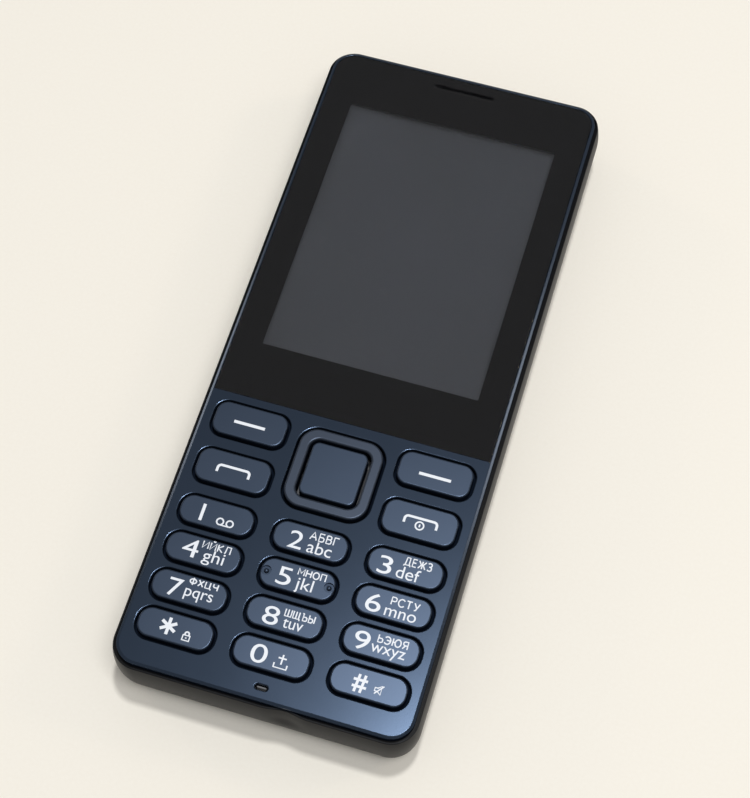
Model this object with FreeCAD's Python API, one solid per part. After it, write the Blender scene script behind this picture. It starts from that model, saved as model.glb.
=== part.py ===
import FreeCAD, Part
import math
import os

from FreeCAD import Vector

# A bar phone with a keypad, lying on its back.  Millimetres.
# X runs across the phone, Y along it towards the earpiece, Z up through the screen.
# The origin is the middle of the back face.

# ---------------------------------------------------------------- driving dimensions
# Outer form of the rear shell
bulge_height = 7.6
bulge_radius = 20.0
roll_radius = 4.0
back_corner = 0.4
rim_height = 11.4
rim_overlap = 0.4
rim_gap = 0.35
cover_wall = 1.0
cover_play = 0.25

# Front housing
lip_height = 1.4
lip_step = 1.0
lip_bevel = 0.4
face_rim = 0.1
pocket_depth = 1.0
skirt_wall = 1.0
skirt_step = 1.5
deck_thickness = 1.2
ledge_thickness = 0.8
seam_web = 1.0
parting_height = 6.9

# Screen and window
active_width = 36.72
active_length = 48.96
panel_side = 3.0
panel_head = 2.6
panel_foot = 8.7
panel_thickness = 0.6
backlight_thickness = 0.7
frame_sheet = 0.15
frame_inset = 0.24
panel_play = 0.05
view_margin = 0.6
panel_step = 3.0
backlight_inset = 0.3
backlight_foot = 2.7
cushion_inset = 0.2
cushion_margin = 0.2
cushion_reach = 2.0
cushion_thickness = 0.25
tape_thickness = 0.1
window_play = 0.05
tape_inset = 0.4
head_margin = 11.52
display_foot = 10.47

# Earpiece and microphone
slit_length = 10.8
slit_width = 0.6
slit_from_end = 3.7
earpiece_length = 12.0
earpiece_width = 5.4
mesh_thickness = 0.1
mesh_step = 0.2
mesh_margin = 0.8
mesh_play = 0.1
port_margin = 0.3
earpiece_rim = 0.5
earpiece_rim_height = 0.3
mic_slot_length = 2.1
mic_slot_width = 0.9
mic_from_end = 3.1
mic_size = 3.0
mic_width = 2.0
mic_thickness = 1.1
mic_set_back = 0.55
boot_wall = 0.3
boot_bore_trim = 0.15

# Keypad
key_width = 12.05
key_length = 4.75
key_corner = 2.05
tall_key_length = 5.75
tall_key_corner = 1.9
key_gap = 0.45
key_rise = 0.55
key_bevel = 0.3
key_travel = 0.3
key_flange_reach = 0.65
key_flange_thickness = 0.6
key_side_play = 0.025
column_pitch = 15.5
row_pitch = 6.5
seam_to_soft = 4.65
soft_to_call = 8.55
call_to_first = 7.95
last_row_to_end = 8.0
nub_radius = 0.45
nub_rise = 0.12
nub_offset = 5.1
nub_root = 0.1
nub_taper = 0.55

# Four-way ring and select key
nav_width = 13.85
nav_length = 13.7
nav_corner = 3.0
nav_from_soft = 4.5
nav_flange_drop = 0.5
nav_flange_thickness = 0.4
select_size = 9.3
select_corner = 1.2
select_gap = 0.5
select_wall_gap = 0.05
select_boss = 4.0
rocker_gap = 0.35
rocker_sheet = 0.25
rocker_band = 0.8
rocker_inset = 0.5
rocker_corner = 1.0
saddle_play = 0.1
pivot_radius = 0.3
pivot_play = 0.03

# Keypad mat and domes
mat_thickness = 0.3
mat_post_gap = 0.05
mat_rim = 0.5
mat_rise = 0.05
mat_seam_gap = 1.3
post_side = 1.5
post_end = 0.8
dome_radius = 1.9
dome_rise = 0.15
film_thickness = 0.1
mat_margin = 0.5

# Main board and what stands on it
board_height = 8.0
board_thickness = 0.8
board_play = 0.5
board_corner = 1.5
shield_height = 1.2
shield_sheet = 0.2
shield_seam = 0.3
shield_seam_inset = 1.0
reader_length = 15.0
reader_width = 17.0
reader_gap = 2.0
reader_row_gap = 1.0
reader_from_well = 2.5
reader_window = 0.3
tongue_share = 0.5
tongue_slot = 0.6
card_reader_width = 15.0
card_reader_length = 11.5
processor_side = 1.0
processor_length = 17.0
processor_drop = 3.0
radio_length = 9.0
radio_from_well = 6.0
radio_side = 0.5

# Battery and its well
battery_width = 38.0
battery_length = 54.0
battery_thickness = 4.8
battery_corner = 1.6
battery_play = 0.2
battery_floor_gap = 0.1
battery_top_from_end = 25.8
cap_length = 2.2
well_floor = 0.6
contact_pitch = 2.6
contact_width = 1.8
contact_height = 2.2
contact_low = 1.2
contact_sink = 0.15
connector_width = 10.0
connector_length = 3.6
connector_gap = 0.6
connector_drop = 1.0
blade_width = 1.0
blade_height = 1.4
blade_low = 1.6

# Rear chassis
chassis_skin = 1.2
bay_wall = 1.0
bay_head = 0.6
bay_foot = 0.8
bay_rib = 0.8
bay_rib_rise = 1.2
column_radius = 2.0

# Screws
screw_x = 19.5
screw_shank = 0.55
screw_head = 1.1
screw_head_depth = 0.6
screw_clearance = 0.15
screw_grip = 1.9
screw_tip_gap = 0.2
boss_wall = 0.55
screw_from_head_end = 5.4
screw_from_foot_end = 3.85

# Sockets in the head end
jack_x = 14.8
jack_bore = 1.8
jack_depth = 13.0
jack_body = 5.0
jack_nose = 2.4
jack_nose_length = 1.2
jack_set_back = 0.3
jack_side = 0.4
jack_back = 1.0
jack_port = 2.8
socket_play = 0.1
usb_width = 7.5
usb_height = 2.6
usb_depth = 5.4
usb_sheet = 0.3
usb_tongue = 0.6
usb_tongue_rise = 0.3
usb_tongue_side = 1.5
usb_tongue_drop = 1.2
usb_taper = 0.9
usb_corner = 1.2
usb_port_margin = 0.9

# Camera, light and sound on the back
camera_from_end = 12.4
camera_body = 8.0
camera_barrel = 3.0
camera_body_low = 3.6
camera_window_radius = 3.1
camera_window_thickness = 0.5
camera_ring_width = 0.9
camera_ring_sink = 0.5
camera_ring_rise = 0.05
camera_glass_lip = 0.3
camera_body_play = 0.2
camera_lens = 1.5
camera_lens_foot = 0.8
camera_lens_depth = 0.6
light_offset = 8.6
light_radius = 1.4
light_body = 2.6
light_body_height = 1.1
light_collar = 1.2
speaker_x = -13.2
speaker_length = 11.0
speaker_width = 14.0
speaker_thickness = 3.2
speaker_frame = 1.2
speaker_dish = 0.6
speaker_cone_inset = 3.0
speaker_cone_rise = 0.2
speaker_slots = 4
speaker_slot_length = 8.0
speaker_slot_width = 0.8
speaker_slot_pitch = 1.9

# Vibration motor and antenna
motor_radius = 4.0
motor_thickness = 2.7
motor_x = -13.0
motor_from_end = 13.8
motor_dimple = 1.4
motor_dimple_depth = 0.2
antenna_thickness = 0.1
antenna_strip = 1.6
antenna_width = 34.0
antenna_bars = 4
antenna_pitch = 3.2
antenna_from_end = 7.8

# Fingernail scoop in the foot end of the cover
scoop_x = 4.4
scoop_width = 7.0
scoop_depth = 0.45
scoop_low = 5.5
scoop_backing = 0.45
scoop_backing_side = 1.5

# Locating ribs inside the cover
rib_length = 5.0
rib_low = 4.4
rib_high = 7.6
rib_rows = 3
rib_spread = 0.6
rib_play = 0.1

# ---------------------------------------------------------------- sizes that follow
# The wall's bulge arc and the roll arc under it touch without a corner, so the roll's
# centre lies this far in from the widest line.
roll_reach = bulge_radius - math.sqrt((bulge_radius - roll_radius) ** 2
                                      - (bulge_height - roll_radius) ** 2)
corner_radius = roll_reach + back_corner

lip_foot = rim_height - rim_overlap
face_height = lip_foot + lip_height
face_step = lip_step + lip_bevel + face_rim
key_top = face_height + key_rise
deck_low = face_height - deck_thickness
ledge_high = face_height - pocket_depth
ledge_low = ledge_high - ledge_thickness

panel_width = active_width + 2 * panel_side
panel_length = active_length + panel_head + panel_foot
frame_width = panel_width + 2 * (frame_sheet + panel_play)
frame_length = panel_length + 2 * (frame_sheet + panel_play)

width_for_keys = column_pitch + key_width / 2 + key_flange_reach + key_side_play
width_for_panel = frame_width / 2 + frame_inset + board_play
half_width = max(width_for_keys, width_for_panel) + skirt_wall + skirt_step

body_length = (head_margin + active_length + display_foot + seam_to_soft + soft_to_call
               + call_to_first + 3 * row_pitch + last_row_to_end)
half_length = body_length / 2

active_y = half_length - head_margin - active_length / 2
panel_y = active_y + (panel_head - panel_foot) / 2
seam_y = active_y - active_length / 2 - display_foot
soft_y = seam_y - seam_to_soft
call_y = soft_y - soft_to_call
first_row_y = call_y - call_to_first
last_row_y = first_row_y - 3 * row_pitch
nav_y = soft_y - nav_from_soft
slit_y = half_length - slit_from_end
mic_y = mic_from_end - half_length

board_top = board_height + board_thickness
film_top = board_top + film_thickness
dome_top = film_top + dome_rise
mat_low = dome_top + mat_rise
mat_top = mat_low + mat_thickness
key_low = deck_low - key_flange_thickness
post_top = key_low - key_travel - mat_post_gap

nav_low = deck_low - nav_flange_drop - nav_flange_thickness
rocker_high = nav_low - rocker_gap
rocker_low = rocker_high - rocker_sheet
ring_opening = select_size + 2 * select_gap
rocker_outer = nav_width - 2 * rocker_inset
rocker_inner = rocker_outer - 2 * rocker_band

skirt_x = half_width - skirt_step
skirt_y = half_length - skirt_step
inner_x = skirt_x - skirt_wall
inner_y = skirt_y - skirt_wall
skirt_corner = corner_radius - skirt_step
inner_corner = skirt_corner - skirt_wall / 2
board_x = inner_x - board_play
board_y = inner_y - board_play

chassis_low = cover_wall + cover_play
battery_low = cover_wall + battery_floor_gap
battery_high = battery_low + battery_thickness
well_roof = battery_high + battery_floor_gap
floor_high = well_roof + well_floor
battery_top = half_length - battery_top_from_end
battery_y = battery_top - battery_length / 2
well_top = battery_top + battery_play
well_foot = battery_top - battery_length - battery_play

screw_seat = floor_high
boss_reach = screw_shank + boss_wall
screw_tip = board_top + screw_grip
camera_y = half_length - camera_from_end
camera_seat = camera_ring_sink + socket_play
jack_mouth = skirt_y - jack_set_back
jack_height = board_height - jack_body / 2
usb_z = board_height - usb_height / 2

screw_rows = (half_length - screw_from_head_end, seam_y + 0.15, screw_from_foot_end - half_length)
screw_spots = [(side * screw_x, y) for y in screw_rows for side in (-1, 1)]

# Overshoots that keep a cut from ending on a face
past = 0.5
taper_overlap = 0.01


# ---------------------------------------------------------------- shared forms
def rounded_wire(size_x, size_y, radius, z, centre_x=0.0, centre_y=0.0):
    """Closed outline of a rectangle with round corners, level at height z."""
    half_x = size_x / 2
    half_y = size_y / 2
    r = min(radius, half_x - 0.01, half_y - 0.01)
    diagonal = r * (1 - math.sqrt(0.5))
    edges = []
    for sign_x, sign_y in ((1, -1), (1, 1), (-1, 1), (-1, -1)):
        corner = Vector(centre_x + sign_x * half_x, centre_y + sign_y * half_y, z)
        along_x = corner - Vector(sign_x * r, 0, 0)
        along_y = corner - Vector(0, sign_y * r, 0)
        middle = corner - Vector(sign_x * diagonal, sign_y * diagonal, 0)
        start, end = (along_x, along_y) if sign_x * sign_y < 0 else (along_y, along_x)
        if edges:
            edges.append(Part.LineSegment(edges[-1].Vertexes[-1].Point, start).toShape())
        edges.append(Part.Arc(start, middle, end).toShape())
    first = edges[0].Vertexes[0].Point
    edges.append(Part.LineSegment(edges[-1].Vertexes[-1].Point, first).toShape())
    return Part.Wire(edges)


def rounded_plate(size_x, size_y, radius, low, high, centre_x=0.0, centre_y=0.0):
    """Upright prism on a rounded rectangle."""
    outline = rounded_wire(size_x, size_y, radius, low, centre_x, centre_y)
    return Part.Face(outline).extrude(Vector(0, 0, high - low))


def eight_sided_post(x, y, reach, low, high):
    """Upright prism on a regular octagon whose flat sides lie at the distance reach."""
    radius = reach / math.cos(math.pi / 8)
    corners = []
    for step in range(8):
        angle = (step + 0.5) * math.pi / 4
        corners.append(Vector(x + radius * math.cos(angle), y + radius * math.sin(angle), low))
    return Part.Face(Part.makePolygon(corners + corners[:1])).extrude(Vector(0, 0, high - low))


def cut_corner_plate(size_x, size_y, cut, low, high, centre_x, centre_y):
    """Upright prism on a rectangle with its corners cut off."""
    half_x = size_x / 2
    half_y = size_y / 2
    corners = []
    for sign_x, sign_y in ((1, 1), (-1, 1), (-1, -1), (1, -1)):
        on_x = Vector(centre_x + sign_x * (half_x - cut), centre_y + sign_y * half_y, low)
        on_y = Vector(centre_x + sign_x * half_x, centre_y + sign_y * (half_y - cut), low)
        corners.extend([on_y, on_x] if sign_x * sign_y > 0 else [on_x, on_y])
    return Part.Face(Part.makePolygon(corners + corners[:1])).extrude(Vector(0, 0, high - low))


def bevelled(solid, bevel, height):
    """The solid with a bevel along every edge that lies at the given height."""
    edges = [e for e in solid.Edges
             if abs(e.BoundBox.ZMin - height) < 1e-4 and abs(e.BoundBox.ZMax - height) < 1e-4]
    return solid.makeChamfer(bevel, edges)


def block(low_x, low_y, low_z, high_x, high_y, high_z):
    """Square-edged box between two corners."""
    return Part.makeBox(high_x - low_x, high_y - low_y, high_z - low_z,
                        Vector(low_x, low_y, low_z))


def centred_block(size_x, size_y, low, high, centre_x=0.0, centre_y=0.0):
    """Square-edged box, centred in plan."""
    return block(centre_x - size_x / 2, centre_y - size_y / 2, low,
                 centre_x + size_x / 2, centre_y + size_y / 2, high)


def post(x, y, radius, low, high):
    """Upright round post."""
    return Part.makeCylinder(radius, high - low, Vector(x, y, low))


def side_profile(inset, top, faceted):
    """Face in the XZ plane from a corner's centre line out to the side wall.

    The wall is one large arc round the bulge and a smaller one that rolls it under to the back.
    A faceted profile has straight stretches between points on those arcs.
    X is counted from the centre line.
    """
    bulge_centre = Vector(corner_radius - bulge_radius, 0, bulge_height)
    roll_centre = Vector(corner_radius - roll_reach, 0, roll_radius)
    wide = bulge_radius - inset
    small = roll_radius - inset
    join_angle = math.atan2(roll_centre.z - bulge_centre.z, roll_centre.x - bulge_centre.x)
    rim_angle = math.asin((rim_height - bulge_height) / wide)

    def on(centre, radius, angle):
        return centre + Vector(radius * math.cos(angle), 0, radius * math.sin(angle))

    back = on(roll_centre, small, -math.pi / 2)
    roll_middle = on(roll_centre, small, (join_angle - math.pi / 2) / 2)
    join = on(bulge_centre, wide, join_angle)
    wall_middle = on(bulge_centre, wide, (join_angle + rim_angle) / 2)
    rim = on(bulge_centre, wide, rim_angle)
    points = [rim, Vector(rim.x, 0, top), Vector(0, 0, top), Vector(0, 0, inset), back]
    edges = []
    if faceted:
        points.extend([roll_middle, join, wall_middle, rim])
    else:
        edges.append(Part.Arc(back, roll_middle, join).toShape())
        edges.append(Part.Arc(join, wall_middle, rim).toShape())
    for start, end in zip(points, points[1:]):
        if start.distanceToPoint(end) > 1e-6:
            edges.append(Part.LineSegment(start, end).toShape())
    return Part.Face(Part.Wire(Part.sortEdges(edges)[0]))


def shell_form(inset, top, faceted=False):
    """Solid with the phone's outer form, set in by inset on every side, up to the height top."""
    centre_x = half_width - corner_radius
    centre_y = half_length - corner_radius
    profile = side_profile(inset, top, faceted)
    form = centred_block(2 * centre_x, 2 * centre_y, inset, top)
    up = Vector(0, 0, 1)
    for turn, along, out in ((0, centre_y, centre_x), (90, centre_x, centre_y),
                             (180, centre_y, centre_x), (270, centre_x, centre_y)):
        side = profile.extrude(Vector(0, 2 * along, 0))
        side.translate(Vector(out, -along, 0))
        corner = profile.revolve(Vector(0, 0, 0), up, 90)
        corner.translate(Vector(out, along, 0))
        for piece in (side, corner):
            piece.rotate(Vector(0, 0, 0), up, turn)
            form = form.fuse(piece)
    return form.removeSplitter()


def key_places():
    """Name, centre, length and corner radius of each key that isn't in the four-way pad."""
    places = [
        ("soft_key_left", -column_pitch, soft_y, tall_key_length, tall_key_corner),
        ("soft_key_right", column_pitch, soft_y, tall_key_length, tall_key_corner),
        ("call_key", -column_pitch, call_y, tall_key_length, tall_key_corner),
        ("end_key", column_pitch, call_y, tall_key_length, tall_key_corner),
    ]
    names = ("1", "2", "3", "4", "5", "6", "7", "8", "9", "star", "0", "hash")
    for index, name in enumerate(names):
        row, column = divmod(index, 3)
        x = (column - 1) * column_pitch
        y = first_row_y - row * row_pitch
        places.append(("key_" + name, x, y, key_length, key_corner))
    return places


# ---------------------------------------------------------------- front housing and window
def front_housing():
    """Front moulding: rounded lip, keypad deck with its holes, ledge round the screen, skirt."""
    lip_x = 2 * (half_width - lip_step)
    lip_y = 2 * (half_length - lip_step)
    lip = rounded_plate(lip_x, lip_y, corner_radius - lip_step, lip_foot, face_height)
    lip = bevelled(lip, lip_bevel, face_height)
    skirt = rounded_plate(2 * skirt_x, 2 * skirt_y, skirt_corner, parting_height, lip_foot)
    body = lip.fuse(skirt)
    hollow = rounded_plate(2 * inner_x, 2 * inner_y, inner_corner, parting_height - past, ledge_low)
    deck_hollow = rounded_plate(2 * inner_x, 2 * inner_y, inner_corner, ledge_low - past, deck_low)
    deck_hollow = deck_hollow.cut(block(-half_width, seam_y - seam_web, 0,
                                        half_width, half_length, face_height))
    body = body.cut(hollow)
    body = body.cut(deck_hollow)
    body = body.cut(window_space())
    body = body.cut(display_opening())
    body = body.cut(earpiece_port())
    body = body.cut(key_holes())
    body = body.cut([mic_hole(deck_low - past, face_height + past), boot_pocket()])
    bosses = [eight_sided_post(x, y, boss_reach, board_top, (deck_low + ledge_high) / 2)
              for x, y in screw_spots]
    pilots = [eight_sided_post(x, y, screw_shank, board_top - past, screw_tip + screw_tip_gap)
              for x, y in screw_spots]
    body = body.fuse(bosses).cut(pilots)
    body = body.cut(socket_ports())
    return body.removeSplitter()


def window_outline(low, high, trim=0.0):
    """Prism over the window's place: round corners at the head, square ones at the seam."""
    width = 2 * (half_width - face_step) - 2 * trim
    top = half_length - face_step - trim
    foot = seam_y + trim
    spare = 2 * corner_radius
    plate = rounded_plate(width, top - foot + spare, corner_radius - face_step, low, high,
                          0, (top + foot - spare) / 2)
    return plate.cut(block(-half_width, foot - 2 * spare, low - past, half_width, foot, high + past))


def window_space():
    """Pocket that the window and its tape lie in."""
    return window_outline(ledge_high, face_height + past)


def display_opening():
    """Opening in the ledge, a little larger than the lit part of the screen."""
    return centred_block(active_width + 2 * view_margin, active_length + 2 * view_margin,
                         ledge_low - past, ledge_high + past, 0, active_y)


def earpiece_port():
    """Way for sound through the ledge, stepped for the mesh."""
    step = centred_block(slit_length + 2 * mesh_margin, slit_width + 2 * mesh_margin,
                         ledge_high - mesh_step, ledge_high + past, 0, slit_y)
    port = centred_block(slit_length, slit_width + 2 * port_margin, ledge_low - past,
                         ledge_high + past, 0, slit_y)
    return step.fuse(port)


def key_holes():
    """All the keypad's openings through the deck."""
    low = deck_low - past
    high = face_height + past
    cuts = []
    for name, x, y, length, corner in key_places():
        cuts.append(rounded_plate(key_width + 2 * key_gap, length + 2 * key_gap,
                                  corner + key_gap, low, high, x, y))
    cuts.append(rounded_plate(nav_width + 2 * key_gap, nav_length + 2 * key_gap,
                              nav_corner + key_gap, low, high, 0, nav_y))
    return Part.makeCompound(cuts)


def mic_hole(low, high):
    """Slot for the microphone."""
    return rounded_plate(mic_slot_length, mic_slot_width, mic_slot_width / 2, low, high, 0, mic_y)


def boot_pocket():
    """Room for the microphone's boot in the inner face of the skirt."""
    margin = 2 * (boot_wall + mesh_play)
    return centred_block(mic_slot_length + margin, mic_slot_width + margin, parting_height - past,
                         deck_low, 0, mic_y)


def socket_ports():
    """Openings in the skirt for the two sockets' mouths."""
    usb = centred_block(usb_width + 2 * socket_play, 4 * skirt_wall, parting_height - past,
                        board_height + socket_play, 0, skirt_y)
    jack = Part.makeCylinder(jack_nose + socket_play, 2 * skirt_wall + 2 * past,
                             Vector(jack_x, inner_y - past, jack_height), Vector(0, 1, 0))
    return usb.fuse(jack)


def display_window():
    """Gloss window, flush with the deck, with the earpiece slit through it."""
    plate = window_outline(ledge_high + tape_thickness, face_height, window_play)
    slit = rounded_plate(slit_length, slit_width, slit_width / 2, ledge_high - past,
                         face_height + past, 0, slit_y)
    return plate.cut(slit)


def window_tape():
    """Thin adhesive frame under the window, open over the screen and the earpiece."""
    plate = window_outline(ledge_high, ledge_high + tape_thickness, tape_inset)
    view = centred_block(active_width + 2 * view_margin, active_length + 2 * view_margin,
                         ledge_high - past, face_height, 0, active_y)
    sound = centred_block(slit_length + 2 * (mesh_margin + mesh_play),
                          slit_width + 2 * (mesh_margin + mesh_play),
                          ledge_high - past, face_height, 0, slit_y)
    return plate.cut([view, sound])


# ---------------------------------------------------------------- screen
def lcd_cushion():
    """Foam frame between the ledge and the screen panel."""
    top = ledge_low
    hole = 2 * (view_margin + cushion_margin)
    outer = centred_block(panel_width - 2 * cushion_inset, active_length + 2 * cushion_reach,
                          top - cushion_thickness, top, 0, active_y)
    inner = centred_block(active_width + hole, active_length + hole,
                          top - 2 * cushion_thickness, top + past, 0, active_y)
    return outer.cut(inner)


def lcd_panel():
    """Glass screen panel, with the step for its driver at the foot."""
    high = ledge_low - cushion_thickness
    low = high - panel_thickness
    glass = centred_block(panel_width, panel_length, low, high, 0, panel_y)
    foot = panel_y - panel_length / 2
    step = block(-panel_width, foot - past, (low + high) / 2, panel_width, foot + panel_step,
                 high + past)
    return glass.cut(step)


def lcd_backlight():
    """Light guide behind the panel."""
    high = ledge_low - cushion_thickness - panel_thickness
    foot = panel_y - panel_length / 2 + backlight_foot
    head = panel_y + panel_length / 2 - backlight_inset
    half = panel_width / 2 - backlight_inset
    return block(-half, foot, board_top + frame_sheet, half, head, high)


def lcd_frame():
    """Sheet tray that holds the backlight and the panel."""
    high = ledge_low - cushion_thickness - tape_thickness
    outer = centred_block(frame_width, frame_length, board_top, high, 0, panel_y)
    inner = centred_block(panel_width + 2 * panel_play, panel_length + 2 * panel_play,
                          board_top + frame_sheet, high + past, 0, panel_y)
    return outer.cut(inner)


# ---------------------------------------------------------------- earpiece and microphone
def earpiece_speaker():
    """Small speaker on the board, under the slit."""
    y = inner_y - earpiece_width / 2 - socket_play
    step = ledge_low - earpiece_rim_height
    can = centred_block(earpiece_length, earpiece_width, board_top, step, 0, y)
    rim = centred_block(earpiece_length - 2 * earpiece_rim, earpiece_width - 2 * earpiece_rim,
                        step, ledge_low, 0, y)
    return can.fuse(rim)


def earpiece_mesh():
    """Fine mesh in its step under the slit."""
    low = ledge_high - mesh_step
    margin = 2 * (mesh_margin - mesh_play)
    return centred_block(slit_length + margin, slit_width + margin, low, low + mesh_thickness,
                         0, slit_y)


def microphone():
    """Microphone can on the board."""
    return centred_block(mic_size, mic_width, board_top, board_top + mic_thickness,
                         0, mic_y + mic_set_back)


def microphone_boot():
    """Rubber boot that carries sound from the slot in the deck to the can."""
    low = board_top + mic_thickness
    tube = centred_block(mic_slot_length + 2 * boot_wall, mic_slot_width + 2 * boot_wall,
                         low, deck_low, 0, mic_y)
    bore = centred_block(mic_slot_length - 2 * boot_bore_trim, mic_slot_width - 2 * boot_bore_trim,
                         low - past, deck_low + past, 0, mic_y)
    return tube.cut(bore)


# ---------------------------------------------------------------- keys
def key_cap(x, y, length, corner):
    """Key cap with a bevelled top, and a flange that stops against the deck's underside."""
    cap = rounded_plate(key_width, length, corner, deck_low, key_top, x, y)
    cap = bevelled(cap, key_bevel, key_top)
    flange = centred_block(key_width + 2 * key_flange_reach, length + 2 * key_flange_reach,
                           key_low, deck_low, x, y)
    return cap.fuse(flange)


def key_with_nubs(x, y, length, corner):
    """The middle key of the number block, with a small round nub near each end."""
    cap = key_cap(x, y, length, corner)
    nubs = []
    for side in (-1, 1):
        foot = Vector(x + side * nub_offset, y, key_top - nub_root)
        nubs.append(Part.makeCone(nub_radius, nub_radius * nub_taper, nub_rise + nub_root, foot))
    return cap.fuse(nubs)


def nav_ring():
    """Four-way ring: raised band with bevels in and out, flange below, rocker grooves."""
    band = rounded_plate(nav_width, nav_length, nav_corner, nav_low, key_top, 0, nav_y)
    opening = rounded_plate(ring_opening, ring_opening, select_corner + select_gap, nav_low - past,
                            key_top + past, 0, nav_y)
    band = bevelled(band.cut(opening), key_bevel, key_top)
    flange = cut_corner_plate(nav_width + 2 * key_flange_reach, nav_length + 2 * key_flange_reach,
                              nav_corner * 0.7, nav_low, nav_low + nav_flange_thickness, 0, nav_y)
    groove = Part.makeCylinder(pivot_radius + pivot_play, 2 * nav_length,
                               Vector(0, nav_y - nav_length, nav_low), Vector(0, 1, 0))
    return band.fuse(flange.cut(opening)).cut(groove).removeSplitter()


def nav_rocker():
    """Thin frame under the ring: ridges along Y on its top, and along X under it."""
    outer = cut_corner_plate(rocker_outer, rocker_outer, rocker_corner, rocker_low, rocker_high,
                             0, nav_y)
    inner = cut_corner_plate(rocker_inner, rocker_inner, rocker_corner * 0.7, rocker_low - past,
                             rocker_high + past, 0, nav_y)
    frame = outer.cut(inner)
    ridges = []
    for side in (-1, 1):
        middle = side * (rocker_outer / 2 - rocker_band / 2)
        top = Part.makeCylinder(pivot_radius, rocker_band,
                                Vector(0, nav_y + middle - rocker_band / 2, nav_low),
                                Vector(0, 1, 0))
        web = centred_block(1.2 * pivot_radius, rocker_band, rocker_high - 0.05, nav_low,
                            0, nav_y + middle)
        under = Part.makeCylinder(pivot_radius, rocker_band,
                                  Vector(middle - rocker_band / 2, nav_y, rocker_low),
                                  Vector(1, 0, 0))
        under = under.cut(block(-nav_width, nav_y - nav_width, rocker_high - 0.05,
                                nav_width, nav_y + nav_width, face_height))
        ridges.extend([top, web, under])
    return frame.fuse(ridges).removeSplitter()


def select_key():
    """Square middle key, hollow below, sliding on the mat's centre boss."""
    cap = rounded_plate(select_size, select_size, select_corner, nav_low, key_top, 0, nav_y)
    cap = bevelled(cap, key_bevel, key_top)
    socket = centred_block(select_boss + 2 * select_wall_gap, select_boss + 2 * select_wall_gap,
                           nav_low - past, select_boss_top() + key_travel + mat_post_gap, 0, nav_y)
    return cap.cut(socket)


def select_boss_top():
    """Height of the mat's boss inside the select key."""
    return deck_low


# ---------------------------------------------------------------- keypad mat and domes
def mat_box(margin):
    """Plan limits of the keypad mat: lowest and highest X and Y."""
    foot = last_row_y - key_length / 2 - key_flange_reach
    return -inner_x + margin, foot, inner_x - margin, seam_y - mat_seam_gap


def keypad_mat():
    """Silicone mat with a post under each key, a boss for the select key and rocker saddles."""
    low_x, low_y, high_x, high_y = mat_box(mat_margin)
    web = block(low_x, low_y, mat_low, high_x, high_y, mat_top)
    rim = block(low_x, low_y, film_top, high_x, high_y, mat_low)
    rim = rim.cut(block(low_x + mat_rim, low_y + mat_rim, film_top - past, high_x - mat_rim,
                        high_y - mat_rim, mat_low + past))
    parts = [rim]
    for name, x, y, length, corner in key_places():
        parts.append(centred_block(key_width - 2 * post_side, length - 2 * post_end,
                                   mat_top, post_top, x, y))
    parts.append(centred_block(select_boss, select_boss, mat_top, select_boss_top(), 0, nav_y))
    for side in (-1, 1):
        middle = side * (rocker_outer / 2 - rocker_band / 2)
        saddle = centred_block(rocker_band - saddle_play, 4 * pivot_radius, mat_low,
                               rocker_low - saddle_play, middle, nav_y)
        parts.append(saddle)
    mat = web.fuse(parts)
    groove = Part.makeCylinder(pivot_radius + pivot_play, 2 * nav_width,
                               Vector(-nav_width, nav_y, rocker_low), Vector(1, 0, 0))
    boss_keep = centred_block(select_boss, select_boss, mat_low, select_boss_top(), 0, nav_y)
    mat = mat.cut(groove).fuse(boss_keep)
    return mat.removeSplitter()


def dome_sheet():
    """Clear film with a four-legged snap dome under each key and each way of the ring."""
    low_x, low_y, high_x, high_y = mat_box(mat_margin)
    film = block(low_x, low_y, board_top, high_x, high_y, film_top)
    spots = [(x, y) for name, x, y, length, corner in key_places()]
    spots.append((0, nav_y))
    reach = ring_opening / 2
    for step_x, step_y in ((1, 0), (-1, 0), (0, 1), (0, -1)):
        spots.append((step_x * reach, nav_y + step_y * reach))
    return film.fuse([snap_dome(x, y) for x, y in spots])


def snap_dome(x, y):
    """Square sheet dome standing on its four corners."""
    return centred_block(1.4 * dome_radius, 1.4 * dome_radius, film_top, dome_top, x, y)


# ---------------------------------------------------------------- board and what stands on it
def main_board():
    """Printed board with holes for the screws."""
    board = rounded_plate(2 * board_x, 2 * board_y, board_corner, board_height, board_top)
    cuts = [eight_sided_post(x, y, screw_shank + screw_clearance, board_height - past,
                             board_top + past) for x, y in screw_spots]
    return board.cut(cuts)


def shield_can(size_x, size_y, x, y):
    """Pressed shield over a group of chips, hanging under the board, with a seam line pressed in."""
    low = board_height - shield_height
    can = centred_block(size_x, size_y, low, board_height, x, y)
    hollow = centred_block(size_x - 2 * shield_sheet, size_y - 2 * shield_sheet,
                           low + shield_sheet, board_height + past, x, y)
    seam = centred_block(size_x - 2 * shield_seam_inset, shield_seam, low - past,
                         low + shield_sheet / 2, x, y)
    return can.cut(hollow).cut(seam)


def processor_shield():
    """Shield over the processor, beside the memory card reader."""
    return shield_can(reader_width + 2 * processor_side, processor_length, half_reader_pitch(),
                      reader_row_y(1) - processor_drop)


def radio_shield():
    """Shield over the radio chips, at the foot of the battery well."""
    return shield_can(2 * (screw_x - column_radius - radio_side), radio_length, 0,
                      well_foot + radio_from_well)


def half_reader_pitch():
    """Half the distance between the two network card readers."""
    return (reader_width + reader_gap) / 2


def reader_row_y(row):
    """Centre of a row of readers, counted from the head of the well."""
    return well_top - reader_from_well - reader_length / 2 - row * (reader_length + reader_row_gap)


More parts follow.
